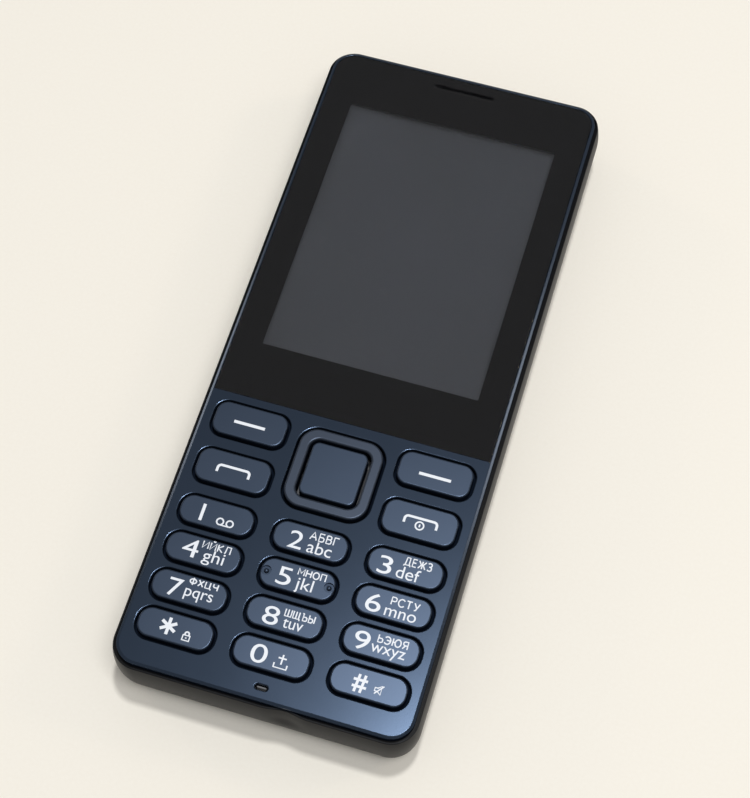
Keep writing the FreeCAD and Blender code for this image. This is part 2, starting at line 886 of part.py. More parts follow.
def card_shell(width, length, x, y):
    """Folded sheet reader: open at one end, with a sprung tongue cut in its face."""
    low = board_height - shield_height
    shell = centred_block(width, length, low, board_height, x, y)
    mouth = centred_block(width - 2 * shield_sheet, length, low + shield_sheet,
                          board_height - shield_sheet, x, y - shield_sheet)
    window = centred_block(width * tongue_share, length * tongue_share, low - past,
                           low + 2 * shield_sheet, x, y)
    tongue = centred_block(width * tongue_share - 2 * tongue_slot, length * tongue_share, low,
                           low + shield_sheet, x, y + tongue_slot)
    return shell.cut(mouth).cut(window).fuse(tongue)


def sim_reader_left():
    """Reader for the first network card."""
    return card_shell(reader_width, reader_length, -half_reader_pitch(), reader_row_y(0))


def sim_reader_right():
    """Reader for the second network card."""
    return card_shell(reader_width, reader_length, half_reader_pitch(), reader_row_y(0))


def card_reader():
    """Reader for the memory card."""
    return card_shell(card_reader_width, card_reader_length, -half_reader_pitch(),
                      card_reader_y())


def card_reader_y():
    """Centre of the memory card reader, whose head lines up with its row."""
    return reader_row_y(1) + (reader_length - card_reader_length) / 2


def battery_connector():
    """Moulded block at the head of the well, with three sprung contact blades."""
    foot = well_top + connector_gap
    half = connector_width / 2
    body = block(-half, foot, battery_low + connector_drop, half, foot + connector_length,
                 board_height)
    low = battery_low + blade_low
    blades = [block(x - blade_width / 2, battery_top + panel_play, low, x + blade_width / 2,
                    foot + socket_play, low + blade_height) for x in contact_places()]
    return body.fuse(blades)


def contact_places():
    """X of each of the battery's three contacts."""
    return [step * contact_pitch for step in (-1, 0, 1)]


def micro_usb_socket():
    """Pressed socket shell with its tongue, mouth at the skirt's outer face."""
    mouth = skirt_y
    low = board_height - usb_height
    wide = centred_block(usb_width, usb_depth, low, board_height, 0, mouth - usb_depth / 2)
    inner = block(-usb_width / 2 + usb_sheet, mouth - usb_depth + usb_sheet, low + usb_sheet,
                  usb_width / 2 - usb_sheet, mouth + past, board_height - usb_sheet)
    shell = wide.cut(inner)
    for side in (-1, 1):
        shell = shell.cut(corner_wedge(side, mouth, low))
        shell = shell.fuse(corner_fold(side, mouth, low))
    low = usb_z - usb_tongue / 2 + usb_tongue_rise
    half = usb_width / 2 - usb_tongue_side
    tongue = block(-half, mouth - usb_depth, low, half, mouth - usb_tongue_drop, low + usb_tongue)
    return shell.fuse(tongue).removeSplitter()


def wedge_prism(points, mouth):
    """Prism along the socket on a flat outline given in X and Z."""
    corners = [Vector(x, mouth - usb_depth, z) for x, z in points]
    face = Part.Face(Part.makePolygon(corners + corners[:1]))
    return face.extrude(Vector(0, usb_depth, 0))


def corner_wedge(side, mouth, low):
    """Corner taken off the socket's lower edge, which tapers the shell."""
    edge = side * (usb_width / 2 + taper_overlap)
    reach = usb_taper + taper_overlap
    foot = low - taper_overlap
    return wedge_prism([(edge, foot), (edge - side * reach, foot), (edge, foot + reach)], mouth)


def corner_fold(side, mouth, low):
    """Slanted wall of the shell that closes the tapered corner."""
    edge = side * usb_width / 2
    outer = usb_taper - taper_overlap
    inner = usb_taper + usb_sheet
    return wedge_prism([(edge, low + outer), (edge - side * outer, low),
                        (edge - side * inner, low), (edge - side * inner, low + usb_sheet),
                        (edge - side * usb_taper, low + usb_sheet),
                        (edge - side * usb_sheet, low + usb_taper),
                        (edge - side * usb_sheet, low + inner), (edge, low + inner)], mouth)


def audio_jack():
    """Jack body with a round bore, its nose just inside the skirt's outer face."""
    half = jack_body / 2 + jack_side
    nose_foot = jack_mouth - jack_nose_length
    body = block(jack_x - half, jack_mouth - jack_depth - jack_back, board_height - jack_body,
                 jack_x + half, nose_foot, board_height)
    nose = Part.makeCylinder(jack_nose, jack_nose_length, Vector(jack_x, nose_foot, jack_height),
                             Vector(0, 1, 0))
    bore = Part.makeCylinder(jack_bore, jack_depth + past,
                             Vector(jack_x, jack_mouth - jack_depth, jack_height), Vector(0, 1, 0))
    return body.fuse(nose).cut(bore)


def camera_module():
    """Camera block under the board with its round barrel towards the back."""
    body = centred_block(camera_body, camera_body, camera_body_low, board_height, 0, camera_y)
    low = cover_wall + cover_play
    barrel = post(0, camera_y, camera_barrel, low, camera_body_low)
    lens = Part.makeCone(camera_lens, camera_lens_foot, camera_lens_depth,
                         Vector(0, camera_y, low))
    return body.fuse(barrel).cut(lens)


def torch_led():
    """Light package on the board."""
    low = board_height - light_body_height
    return centred_block(light_body, light_body, low, board_height, light_offset, camera_y)


def torch_light_guide():
    """Clear rod from the light package to the back face."""
    low = cover_wall - chassis_skin + camera_ring_sink
    high = board_height - light_body_height
    rod = post(light_offset, camera_y, light_radius, low, high)
    collar = centred_block(light_body, light_body, high - light_collar, high, light_offset,
                           camera_y)
    return rod.fuse(collar)


def loudspeaker():
    """Loudspeaker box against the chassis skin, with its cone open to the slots."""
    low = chassis_low + chassis_skin
    box = centred_block(speaker_width, speaker_length, low, low + speaker_thickness,
                        speaker_x, camera_y)
    dish = cut_corner_plate(speaker_width - 2 * speaker_frame, speaker_length - 2 * speaker_frame,
                            speaker_frame, low - past, low + speaker_dish, speaker_x, camera_y)
    cone = cut_corner_plate(speaker_width - 2 * speaker_cone_inset,
                            speaker_length - 2 * speaker_cone_inset, speaker_frame,
                            low + speaker_cone_rise, low + speaker_dish + tape_thickness,
                            speaker_x, camera_y)
    return box.cut(dish).fuse(cone)


def vibration_motor():
    """Coin motor under the board."""
    y = motor_from_end - half_length
    low = board_height - motor_thickness
    coin = post(motor_x, y, motor_radius, low, board_height)
    return coin.cut(post(motor_x, y, motor_dimple, low - past, low + motor_dimple_depth))


# ---------------------------------------------------------------- rear chassis and antenna
def rear_chassis():
    """Rear moulding: battery well, bays on both sides of it, screw columns and openings."""
    limit = rounded_plate(2 * skirt_x, 2 * skirt_y, skirt_corner, 0, parting_height)
    form = shell_form(cover_wall + cover_play, rim_height, faceted=True).common(limit)
    bay_low = chassis_low + chassis_skin
    bay_x = inner_x - bay_wall
    bay_y = inner_y - bay_wall
    high = parting_height + past
    head_bay = block(-bay_x, well_top + chassis_skin, bay_low, bay_x, bay_y, high)
    foot_bay = block(-bay_x, -bay_y, bay_low, bay_x, well_foot - chassis_skin, high)
    body = form.cut([battery_well(), chip_bay(), head_bay, foot_bay])
    body = body.fuse(bay_ribs(bay_low) + screw_columns(form))
    body = body.cut(screw_ways())
    body = body.cut(rear_openings())
    return body.removeSplitter()


def battery_well():
    """Space of the battery, open to the back."""
    return centred_block(battery_width + 2 * battery_play, battery_length + 2 * battery_play,
                         0, well_roof, 0, battery_y)


def chip_bay():
    """Room for the shields and readers over the well, and the readers' windows in its floor."""
    high = parting_height + past
    bay = block(-inner_x + bay_wall, well_foot + bay_foot, floor_high,
                inner_x - bay_wall, well_top - bay_head, high)
    windows = [bay]
    for side in (-1, 1):
        windows.append(centred_block(reader_width + 2 * reader_window,
                                     reader_length + 2 * reader_window, well_roof - past,
                                     high, side * half_reader_pitch(), reader_row_y(0)))
    windows.append(centred_block(card_reader_width + 2 * reader_window,
                                 card_reader_length + 2 * reader_window, well_roof - past,
                                 high, -half_reader_pitch(), card_reader_y()))
    return Part.makeCompound(windows)


def bay_ribs(low):
    """Stiffening ribs across the foot bay."""
    ribs = []
    foot = -inner_y + bay_wall
    head = well_foot - chassis_skin
    half = inner_x - bay_wall / 2
    for share in (1 / 3, 2 / 3):
        y = foot + (head - foot) * share
        ribs.append(block(-half, y - bay_rib / 2, low - chassis_skin / 2, half, y + bay_rib / 2,
                          low + bay_rib_rise))
    return ribs


def screw_columns(form):
    """Columns of the chassis round the screws, inside the chassis' form and then the skirt's."""
    inside = rounded_plate(2 * (inner_x - socket_play), 2 * (inner_y - socket_play), inner_corner,
                           parting_height, board_height)
    columns = []
    for x, y in screw_spots:
        in_well = well_foot < y < well_top
        low = floor_high - well_floor / 2 if in_well else chassis_low + chassis_skin / 2
        foot = eight_sided_post(x, y, column_radius, low, parting_height).common(form)
        head = eight_sided_post(x, y, column_radius, parting_height, board_height).common(inside)
        columns.append(foot.fuse(head))
    return columns


def screw_ways():
    """Access holes, head seats and shank holes of the screws."""
    ways = []
    for x, y in screw_spots:
        ways.append(eight_sided_post(x, y, screw_head + screw_clearance, 0, screw_seat))
        ways.append(eight_sided_post(x, y, screw_shank + screw_clearance, screw_seat - past,
                                     board_height + past))
    return Part.makeCompound(ways)


def rear_openings():
    """Holes in the chassis skin for camera, light, sound, contacts and the two sockets."""
    high = board_height + past
    half = jack_body / 2 + jack_side + socket_play
    nose_foot = jack_mouth - jack_nose_length
    camera_side = camera_body + 2 * camera_body_play
    grille = 2 * (speaker_frame + rib_play)
    plug_half = connector_width / 2 + camera_body_play
    plug_head = well_top + connector_gap + connector_length + camera_body_play
    holes = [
        post(0, camera_y, camera_barrel + 2 * socket_play, 0, high),
        centred_block(camera_side, camera_side, camera_body_low - camera_body_play, high, 0,
                      camera_y),
        post(light_offset, camera_y, light_radius + socket_play, 0, high),
        centred_block(speaker_width - grille, speaker_length - grille, 0, high, speaker_x,
                      camera_y),
        centred_block(speaker_width + 2 * socket_play, speaker_length + 2 * socket_play,
                      chassis_low + chassis_skin, high, speaker_x, camera_y),
        block(-plug_half, well_top - bay_wall, battery_low + connector_drop - camera_body_play,
              plug_half, plug_head, high),
        block(jack_x - half, jack_mouth - jack_depth - jack_back - camera_body_play,
              board_height - jack_body - socket_play, jack_x + half, nose_foot + socket_play, high),
        Part.makeCylinder(jack_nose + socket_play, jack_nose + jack_nose_length,
                          Vector(jack_x, nose_foot, jack_height), Vector(0, 1, 0)),
        centred_block(usb_width + 2 * socket_play, 8 * skirt_wall,
                      board_height - usb_height - socket_play, high, 0, skirt_y),
    ]
    return Part.makeCompound(holes)


def main_antenna():
    """Meander of thin metal on the chassis skin at the foot end."""
    low = chassis_low - antenna_thickness
    foot = antenna_from_end - half_length
    bars = []
    for index in range(antenna_bars):
        y = foot + index * antenna_pitch
        bars.append(block(-antenna_width / 2, y, low, antenna_width / 2, y + antenna_strip,
                          chassis_low))
        if index:
            side = 1 if index % 2 else -1
            edge = side * antenna_width / 2
            inner = edge - side * antenna_strip
            bars.append(block(min(edge, inner), y - antenna_pitch, low, max(edge, inner),
                              y + antenna_strip, chassis_low))
    strip = bars[0].fuse(bars[1:]).removeSplitter()
    keep_off = [post(x, y, screw_head + 4 * screw_clearance, -past, board_height)
                for x, y in screw_spots]
    return strip.cut(keep_off)


def chassis_screws():
    """Equal screws from the back through chassis and board into the front's bosses.

    An eight-sided blank stands for each thread.
    """
    screws = []
    for x, y in screw_spots:
        head = post(x, y, screw_head, screw_seat - screw_head_depth, screw_seat)
        shank = eight_sided_post(x, y, screw_shank, screw_seat, screw_tip)
        screws.append(head.fuse(shank))
    return Part.makeCompound(screws)


# ---------------------------------------------------------------- battery
def battery():
    """Battery block with rounded long edges."""
    return battery_slice(battery_top - battery_length, battery_top - cap_length)


def battery_slice(foot, head):
    """Stretch of the battery's section along the phone."""
    outline = rounded_wire(battery_width, battery_thickness, battery_corner, 0)
    outline.rotate(Vector(0, 0, 0), Vector(1, 0, 0), 90)
    outline.translate(Vector(0, foot, (battery_low + battery_high) / 2))
    return Part.Face(outline).extrude(Vector(0, head - foot, 0))


def battery_cap():
    """Moulded end of the battery, with three sunk contact pads."""
    cap = battery_slice(battery_top - cap_length, battery_top)
    low = battery_low + contact_low
    pads = [block(x - contact_width / 2, battery_top - contact_sink, low, x + contact_width / 2,
                  battery_top + past, low + contact_height) for x in contact_places()]
    return cap.cut(pads)


# ---------------------------------------------------------------- rear cover
def rear_cover():
    """Thin shell round the back and all four sides, with ports, slots and fingernail scoop."""
    outer = shell_form(0, rim_height)
    inner = shell_form(cover_wall, rim_height + 1, faceted=True)
    cover = outer.cut(inner)
    backing = scoop_form(scoop_depth + scoop_backing, scoop_backing_side).common(outer)
    keep = rounded_plate(2 * (skirt_x + rib_play), 2 * (skirt_y + rib_play), skirt_corner, 0,
                         face_height)
    cover = cover.fuse(backing.cut(keep))
    cover = cover.fuse(cover_ribs())
    cover = cover.cut([scoop_form(scoop_depth, 0), lip_space()])
    cover = cover.cut(cover_openings())
    return cover.removeSplitter()


def lip_space():
    """Room that the cover's rim leaves round the front housing's lip, with the seam's gap."""
    step = lip_step - rim_gap
    return rounded_plate(2 * (half_width - step), 2 * (half_length - step), corner_radius - step,
                         lip_foot, face_height)


def scoop_form(depth, spread):
    """Upright round-bottomed groove that dents the middle of the foot wall."""
    half = scoop_width / 2 + spread
    radius = (half * half + depth * depth) / (2 * depth)
    y = -half_length + depth - radius
    return post(scoop_x, y, radius, scoop_low - spread, rim_height)


def cover_ribs():
    """Short upright ribs that centre the cover on the chassis."""
    ribs = []
    reach = skirt_x + rib_play
    wall = half_width - cover_wall / 2
    for row in range(rib_rows):
        y = (row - (rib_rows - 1) / 2) * half_length * rib_spread
        for side in (-1, 1):
            near = min(side * reach, side * wall)
            far = max(side * reach, side * wall)
            ribs.append(block(near, y - rib_length / 2, rib_low, far, y + rib_length / 2, rib_high))
    return ribs


def cover_openings():
    """Camera, light and speaker openings in the back, and both ports in the head wall."""
    cuts = [
        post(0, camera_y, camera_window_radius - camera_glass_lip, -past, cover_wall + past),
        post(0, camera_y, camera_window_radius + camera_ring_width + window_play, -past,
             camera_seat),
        post(light_offset, camera_y, light_radius + socket_play, -past, cover_wall + past),
    ]
    for index in range(speaker_slots):
        y = camera_y + (index - (speaker_slots - 1) / 2) * speaker_slot_pitch
        cuts.append(rounded_plate(speaker_slot_length, speaker_slot_width, speaker_slot_width / 2,
                                  -past, cover_wall + past, speaker_x, y))
    cuts.append(Part.makeCylinder(jack_port, 3 * cover_wall,
                                  Vector(jack_x, half_length - 2 * cover_wall, jack_height),
                                  Vector(0, 1, 0)))
    port = rounded_wire(usb_width + 2 * usb_port_margin, usb_height + 2 * usb_port_margin,
                        usb_corner, 0)
    port.rotate(Vector(0, 0, 0), Vector(1, 0, 0), 90)
    port.translate(Vector(0, half_length - 2 * cover_wall, usb_z))
    cuts.append(Part.Face(port).extrude(Vector(0, 3 * cover_wall, 0)))
    return Part.makeCompound(cuts)


def camera_ring():
    """Bright ring round the camera window, sunk in the cover."""
    outer = camera_window_radius + camera_ring_width
    ring = post(0, camera_y, outer, camera_ring_rise, camera_seat)
    return ring.cut(post(0, camera_y, camera_window_radius, -past, cover_wall))


def camera_window():
    """Clear disc over the camera, just below the back face."""
    return post(0, camera_y, camera_window_radius, camera_seat - camera_window_thickness,
                camera_seat)


def speaker_mesh():
    """Fine mesh behind the cover's speaker slots."""
    return centred_block(speaker_slot_length + 2 * mesh_margin,
                         speaker_slots * speaker_slot_pitch + mesh_margin,
                         cover_wall, cover_wall + mesh_thickness, speaker_x, camera_y)


# ---------------------------------------------------------------- write every node
def all_nodes():
    """Every sub-part by its node name."""
    nodes = {
        "front_housing": front_housing(),
        "display_window": display_window(),
        "window_tape": window_tape(),
        "lcd_cushion": lcd_cushion(),
        "lcd_panel": lcd_panel(),
        "lcd_backlight": lcd_backlight(),
        "lcd_frame": lcd_frame(),
        "earpiece_speaker": earpiece_speaker(),
        "earpiece_mesh": earpiece_mesh(),
        "microphone": microphone(),
        "microphone_boot": microphone_boot(),
        "keypad_mat": keypad_mat(),
        "dome_sheet": dome_sheet(),
        "nav_rocker": nav_rocker(),
        "nav_ring": nav_ring(),
        "select_key": select_key(),
        "main_board": main_board(),
        "processor_shield": processor_shield(),
        "radio_shield": radio_shield(),
        "sim_reader_left": sim_reader_left(),
        "sim_reader_right": sim_reader_right(),
        "card_reader": card_reader(),
        "battery_connector": battery_connector(),
        "micro_usb_socket": micro_usb_socket(),
        "audio_jack": audio_jack(),
        "camera_module": camera_module(),
        "torch_led": torch_led(),
        "torch_light_guide": torch_light_guide(),
        "loudspeaker": loudspeaker(),
        "vibration_motor": vibration_motor(),
        "rear_chassis": rear_chassis(),
        "main_antenna": main_antenna(),
        "chassis_screws": chassis_screws(),
        "battery": battery(),
        "battery_cap": battery_cap(),
        "rear_cover": rear_cover(),
        "camera_ring": camera_ring(),
        "camera_window": camera_window(),
        "speaker_mesh": speaker_mesh(),
    }
    for name, x, y, length, corner in key_places():
        make = key_with_nubs if name == "key_5" else key_cap
        nodes[name] = make(x, y, length, corner)
    return nodes


os.makedirs("parts", exist_ok=True)
for node_name, shape in all_nodes().items():
    shape.exportStep("parts/" + node_name + ".step")
    box = shape.BoundBox
    print(node_name, len(shape.Solids), shape.isValid(), round(shape.Volume, 2),
          [round(v, 2) for v in (box.XMin, box.YMin, box.ZMin, box.XMax, box.YMax, box.ZMax)])
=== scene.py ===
"""Looks of a bar phone with a keypad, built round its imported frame."""

import logging
import math
from dataclasses import dataclass
from enum import Enum

import bmesh
import bpy
from bmesh.types import BMEdge, BMVert, BMesh
from bpy.types import Curve, Material, Mesh, Node, NodeOutputs, NodeSocket, NodeTree, Object
from mathutils import Matrix, Vector


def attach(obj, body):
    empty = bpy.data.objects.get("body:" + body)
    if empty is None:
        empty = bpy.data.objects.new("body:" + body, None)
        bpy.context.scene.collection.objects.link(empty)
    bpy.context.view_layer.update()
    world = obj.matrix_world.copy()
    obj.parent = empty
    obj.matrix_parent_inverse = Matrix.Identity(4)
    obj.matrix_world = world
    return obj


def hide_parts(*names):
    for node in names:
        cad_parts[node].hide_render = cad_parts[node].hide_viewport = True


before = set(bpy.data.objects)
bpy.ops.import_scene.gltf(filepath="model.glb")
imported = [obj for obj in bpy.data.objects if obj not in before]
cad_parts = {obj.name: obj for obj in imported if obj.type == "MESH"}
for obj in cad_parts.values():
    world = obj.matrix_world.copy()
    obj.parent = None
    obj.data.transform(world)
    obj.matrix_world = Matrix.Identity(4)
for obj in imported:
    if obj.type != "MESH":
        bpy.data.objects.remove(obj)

log = logging.getLogger("phone")
logging.basicConfig(level=logging.INFO, format="%(name)s: %(message)s")

MM = 0.001
"""One millimetre in metres."""
POINT = 0.0001
"""Run, in millimetres, of a form that is only as long as its round ends."""
MERGE = 1e-3
"""Distance, in millimetres, below which two corners are one."""
UP = Vector((0, 0, 1))

Pair = tuple[float, float]
Triple = tuple[float, float, float]
Colour = tuple[int, int, int]
Line = list[Pair]


def linear(red: int, green: int, blue: int) -> tuple[float, ...]:
    """Turns a colour of three bytes into linear light.

    Args:
        red: Red byte.
        green: Green byte.
        blue: Blue byte.

    Returns:
        The colour with an alpha of 1.
    """
    def one(byte: int) -> float:
        """Returns one channel in linear light."""
        share = byte / 255
        return share / 12.92 if share <= 0.04045 else ((share + 0.055) / 1.055) ** 2.4

    return one(red), one(green), one(blue), 1.0


# ------------------------------------------------------------------ nodes
Feed = float | tuple[float, ...] | NodeSocket


def feed(tree: NodeTree, target: Node, feeds: dict[str | int, Feed]) -> None:
    """Sets a node's inputs to values, or links them to the sockets that drive them.

    Args:
        tree: The tree that holds the node.
        target: The node.
        feeds: Value or driving socket of each input, by the input's name or number.
    """
    for name, given in feeds.items():
        if isinstance(given, NodeSocket):
            tree.links.new(given, target.inputs[name])
        else:
            target.inputs[name].default_value = given


def node(tree: NodeTree, kind: str, feeds: dict[str | int, Feed] | None = None,
         **settings: str | bool | NodeTree) -> Node:
    """Adds a shader node.

    Args:
        tree: The tree that it goes into.
        kind: Its type, without the leading ShaderNode.
        feeds: What feeds its inputs.
        settings: Its own properties, which are set before its inputs.

    Returns:
        The node.
    """
    made = tree.nodes.new("ShaderNode" + kind)
    for name, value in settings.items():
        setattr(made, name, value)
    feed(tree, made, feeds or {})
    return made


def maths(tree: NodeTree, operation: str, *terms: Feed, clamp: bool = False) -> NodeSocket:
    """Adds one step of arithmetic.

    Args:
        tree: The tree that it goes into.
        operation: What is done.
        terms: What it is done with.
        clamp: Whether the result stays between 0 and 1.

    Returns:
        The result's socket.
    """
    step = node(tree, "Math", dict(enumerate(terms)), operation=operation, use_clamp=clamp)
    return step.outputs[0]


def mixed(tree: NodeTree, share: Feed, first: Feed, second: Feed) -> NodeSocket:
    """Mixes two colours.

    Args:
        tree: The tree that the mix goes into.
        share: How much of the second colour shows.
        first: The first colour.
        second: The second colour.

    Returns:
        The result's socket.
    """
    blend = node(tree, "Mix", {"Factor": share, "A": first, "B": second}, data_type="RGBA")
    return blend.outputs["Result"]


class Effect(Enum):
    """Node groups that several finishes share."""

    GRAIN = "moulded_grain"
    WEAR = "edge_wear"
    BRUSH = "brushed_lines"
    # Painted shade: dark flanks below a height, standing in for the shade in the gaps.
    PAINTED_SHADE = "painted_flank_shade"


class EffectLibrary:
    """Builds each shared node group once."""

    def __init__(self) -> None:
        """Builds the groups."""
        self.groups = {
            Effect.GRAIN: self.grain(),
            Effect.WEAR: self.wear(),
            Effect.BRUSH: self.brush(),
            Effect.PAINTED_SHADE: self.cover(),
        }

    def group(self, effect: Effect, inputs: dict[str, float], outputs: list[str]
              ) -> tuple[NodeTree, NodeOutputs, Node]:
        """Starts a node group.

        Args:
            effect: The effect that the group gives.
            inputs: Default value of each input by its name.
            outputs: Names of the outputs.

        Returns:
            The tree, the sockets of its input node, and its output node.
        """
        tree = bpy.data.node_groups.new(effect.value, "ShaderNodeTree")
        for name, value in inputs.items():
            socket = tree.interface.new_socket(name, in_out="INPUT", socket_type="NodeSocketFloat")
            socket.default_value = value
        for name in outputs:
            tree.interface.new_socket(name, in_out="OUTPUT", socket_type="NodeSocketFloat")
        given = tree.nodes.new("NodeGroupInput")
        return tree, given.outputs, tree.nodes.new("NodeGroupOutput")

    def grain(self) -> NodeTree:
        """Spark-eroded mould grain with a slow drift of the gloss.

        Returns:
            A group with the outputs Height, Roughness and Shade.
        """
        tree, given, out = self.group(
            Effect.GRAIN,
            {"Grain scale": 6000.0, "Drift scale": 40.0, "Roughness": 0.3, "Spread": 0.05},
            ["Height", "Roughness", "Shade"])
        place = node(tree, "TexCoord").outputs["Object"]
        fine = node(tree, "TexNoise", {"Vector": place, "Scale": given["Grain scale"],
                                       "Detail": 2.0}).outputs["Fac"]
        drift = node(tree, "TexNoise", {"Vector": place, "Scale": given["Drift scale"],
                                        "Detail": 4.0, "Roughness": 0.6}).outputs["Fac"]
        centred = maths(tree, "SUBTRACT", drift, 0.5)
        gloss = maths(tree, "MULTIPLY_ADD", centred, given["Spread"], given["Roughness"])
        feed(tree, out, {"Height": fine, "Roughness": gloss, "Shade": drift})
        return tree

    def wear(self) -> NodeTree:
        """Mask that is 1 on rubbed convex edges and 0 elsewhere.

        Returns:
            A group with the output Mask.
        """
        tree, given, out = self.group(
            Effect.WEAR, {"Start": 0.52, "Full": 0.62, "Patch scale": 900.0}, ["Mask"])
        bend = node(tree, "NewGeometry").outputs["Pointiness"]
        place = node(tree, "TexCoord").outputs["Object"]
        patch = node(tree, "TexNoise", {"Vector": place, "Scale": given["Patch scale"],
                                        "Detail": 3.0}).outputs["Fac"]
        edge = node(tree, "MapRange", {"Value": bend, "From Min": given["Start"],
                                       "From Max": given["Full"]}).outputs["Result"]
        feed(tree, out, {"Mask": maths(tree, "MULTIPLY", edge, patch, clamp=True)})
        return tree

    def brush(self) -> NodeTree:
        """Fine drawn lines along one axis, as on rolled sheet.

        Returns:
            A group with the outputs Height and Roughness.
        """
        tree, given, out = self.group(
            Effect.BRUSH, {"Line scale": 4000.0, "Stretch": 0.02, "Roughness": 0.3, "Spread": 0.1},
            ["Height", "Roughness"])
        place = node(tree, "TexCoord").outputs["Object"]
        split = node(tree, "SeparateXYZ", {0: place}).outputs
        drawn = node(tree, "CombineXYZ", {"X": maths(tree, "MULTIPLY", split["X"], given["Stretch"]),
                                          "Y": split["Y"], "Z": split["Z"]}).outputs[0]
        lines = node(tree, "TexNoise", {"Vector": drawn, "Scale": given["Line scale"],
                                        "Detail": 2.0}).outputs["Fac"]
        gloss = maths(tree, "MULTIPLY_ADD", lines, given["Spread"], given["Roughness"])
        feed(tree, out, {"Height": lines, "Roughness": gloss})
        return tree

    def cover(self) -> NodeTree:
        """Mask for painted shade: 1 on the tops, and 0 down the flanks below a height, which are
        painted dark as the shade in the gaps.

        Returns:
            A group with the output Mask.
        """
        tree, given, out = self.group(
            Effect.PAINTED_SHADE, {"Edge height": 0.012, "Ragged": 0.00006, "Fade": 0.0001}, ["Mask"])
        place = node(tree, "TexCoord").outputs["Object"]
        drift = node(tree, "TexNoise", {"Vector": place, "Scale": 1500.0}).outputs["Fac"]
        height = maths(tree, "MULTIPLY_ADD", drift, given["Ragged"],
                       node(tree, "SeparateXYZ", {0: place}).outputs["Z"])
        top = maths(tree, "ADD", given["Edge height"], given["Fade"])
        fade = node(tree, "MapRange", {"Value": height, "From Min": given["Edge height"],
                                       "From Max": top}).outputs["Result"]
        feed(tree, out, {"Mask": fade})
        return tree


# ------------------------------------------------------------------ finishes
@dataclass(frozen=True)
class Finish:
    """One surface finish.

    Colours are bytes, depths are millimetres, and scales are counts per metre.  Below a height in
    millimetres the flanks of a moulding take a dark colour and lose their metallic sheen: painted
    shade for the gaps.
    """

    name: str
    colour: Colour
    tint: Colour | None = None
    roughness: float = 0.35
    spread: float = 0.08
    metallic: float = 0.0
    specular: float = 0.5
    ior: float = 1.5
    coat: float = 0.0
    coat_roughness: float = 0.1
    transmission: float = 0.0
    sheen: float = 0.0
    grain_scale: float = 6000.0
    grain_depth: float = 0.004
    drift_scale: float = 60.0
    worn: Colour | None = None
    brushed: bool = False
    painted_shade_colour: Colour | None = None
    painted_shade_below: float = 12.0

    def material(self, effects: EffectLibrary) -> Material:
        """Builds the finish as a node material, once.

        Args:
            effects: The shared node groups.

        Returns:
            The material.
        """
        label = self.name + "_finish"
        known = bpy.data.materials.get(label)
        if known:
            return known
        made = bpy.data.materials.new(label)
        made.use_nodes = True
        tree = made.node_tree
        shader = tree.nodes["Principled BSDF"]
        surface = node(tree, "Group",
                       node_tree=effects.groups[Effect.BRUSH if self.brushed else Effect.GRAIN])
        feed(tree, surface, {"Line scale" if self.brushed else "Grain scale": self.grain_scale,
                             "Roughness": self.roughness, "Spread": self.spread})
        if not self.brushed:
            feed(tree, surface, {"Drift scale": self.drift_scale})
        bump = node(tree, "Bump", {"Height": surface.outputs["Height"],
                                   "Distance": self.grain_depth * MM, "Strength": 1.0})
        feed(tree, shader, {
            "Metallic": self.metallic, "Specular IOR Level": self.specular, "IOR": self.ior,
            "Coat Weight": self.coat, "Coat Roughness": self.coat_roughness,
            "Transmission Weight": self.transmission, "Sheen Weight": self.sheen,
            "Roughness": surface.outputs["Roughness"], "Normal": bump.outputs["Normal"]})
        self.paint(tree, surface, shader, effects)
        return made

    def paint(self, tree: NodeTree, surface: Node, shader: Node,
              effects: EffectLibrary) -> None:
        """Colours the finish, with its slow tint, its worn edges and the painted shade on its flanks.

        Args:
            tree: The material's nodes.
            surface: The node of the grain or the brushed lines.
            shader: The shader that is coloured.
            effects: The shared node groups.
        """
        result: Feed = linear(*self.colour)
        if self.tint and not self.brushed:
            result = mixed(tree, surface.outputs["Shade"], result, linear(*self.tint))
        if self.worn:
            rubbed = node(tree, "Group", node_tree=effects.groups[Effect.WEAR]).outputs["Mask"]
            result = mixed(tree, rubbed, result, linear(*self.worn))
        # Painted shade: below the height the flanks in the gaps turn dark and lose their metallic
        # sheen.
        if self.painted_shade_colour:
            cover = node(tree, "Group", {"Edge height": self.painted_shade_below * MM},
                         node_tree=effects.groups[Effect.PAINTED_SHADE]).outputs["Mask"]
            result = mixed(tree, cover, linear(*self.painted_shade_colour), result)
            feed(tree, shader, {"Metallic": maths(tree, "MULTIPLY", cover, self.metallic)})
        feed(tree, shader, {"Base Color": result})


# The dark flank colour of these three finishes is painted shade in the gaps round the keys, the ring,
# and the housing's holes and lip.
DECK = Finish("deck_lacquer", (57, 69, 85), tint=(61, 72, 89), metallic=0.83, roughness=0.19,
              spread=0.02, specular=0.0, grain_scale=5200, grain_depth=0.0006,
              painted_shade_colour=(18, 25, 37), painted_shade_below=11.9)
KEYS = Finish("key_lacquer", (59, 70, 86), tint=(63, 73, 89), metallic=0.79, roughness=0.3,
              spread=0.03, specular=0.0, grain_scale=5200, grain_depth=0.0008,
              painted_shade_colour=(18, 25, 37), painted_shade_below=12.5)
RING = Finish("ring_lacquer", (61, 68, 80), tint=(64, 72, 85), roughness=0.34, spread=0.05,
              metallic=0.7, specular=0.0, grain_scale=9000, grain_depth=0.001,
              painted_shade_colour=(18, 25, 37), painted_shade_below=12.5)
SHELL = Finish("shell_moulding", (13, 14, 16), tint=(17, 18, 21), roughness=0.38, spread=0.06,
               specular=0.08, grain_scale=4200, grain_depth=0.003, worn=(34, 36, 40))
CHASSIS = Finish("chassis_moulding", (22, 22, 24), tint=(27, 27, 29), roughness=0.55,
                 grain_scale=3600, grain_depth=0.012, worn=(60, 60, 62))
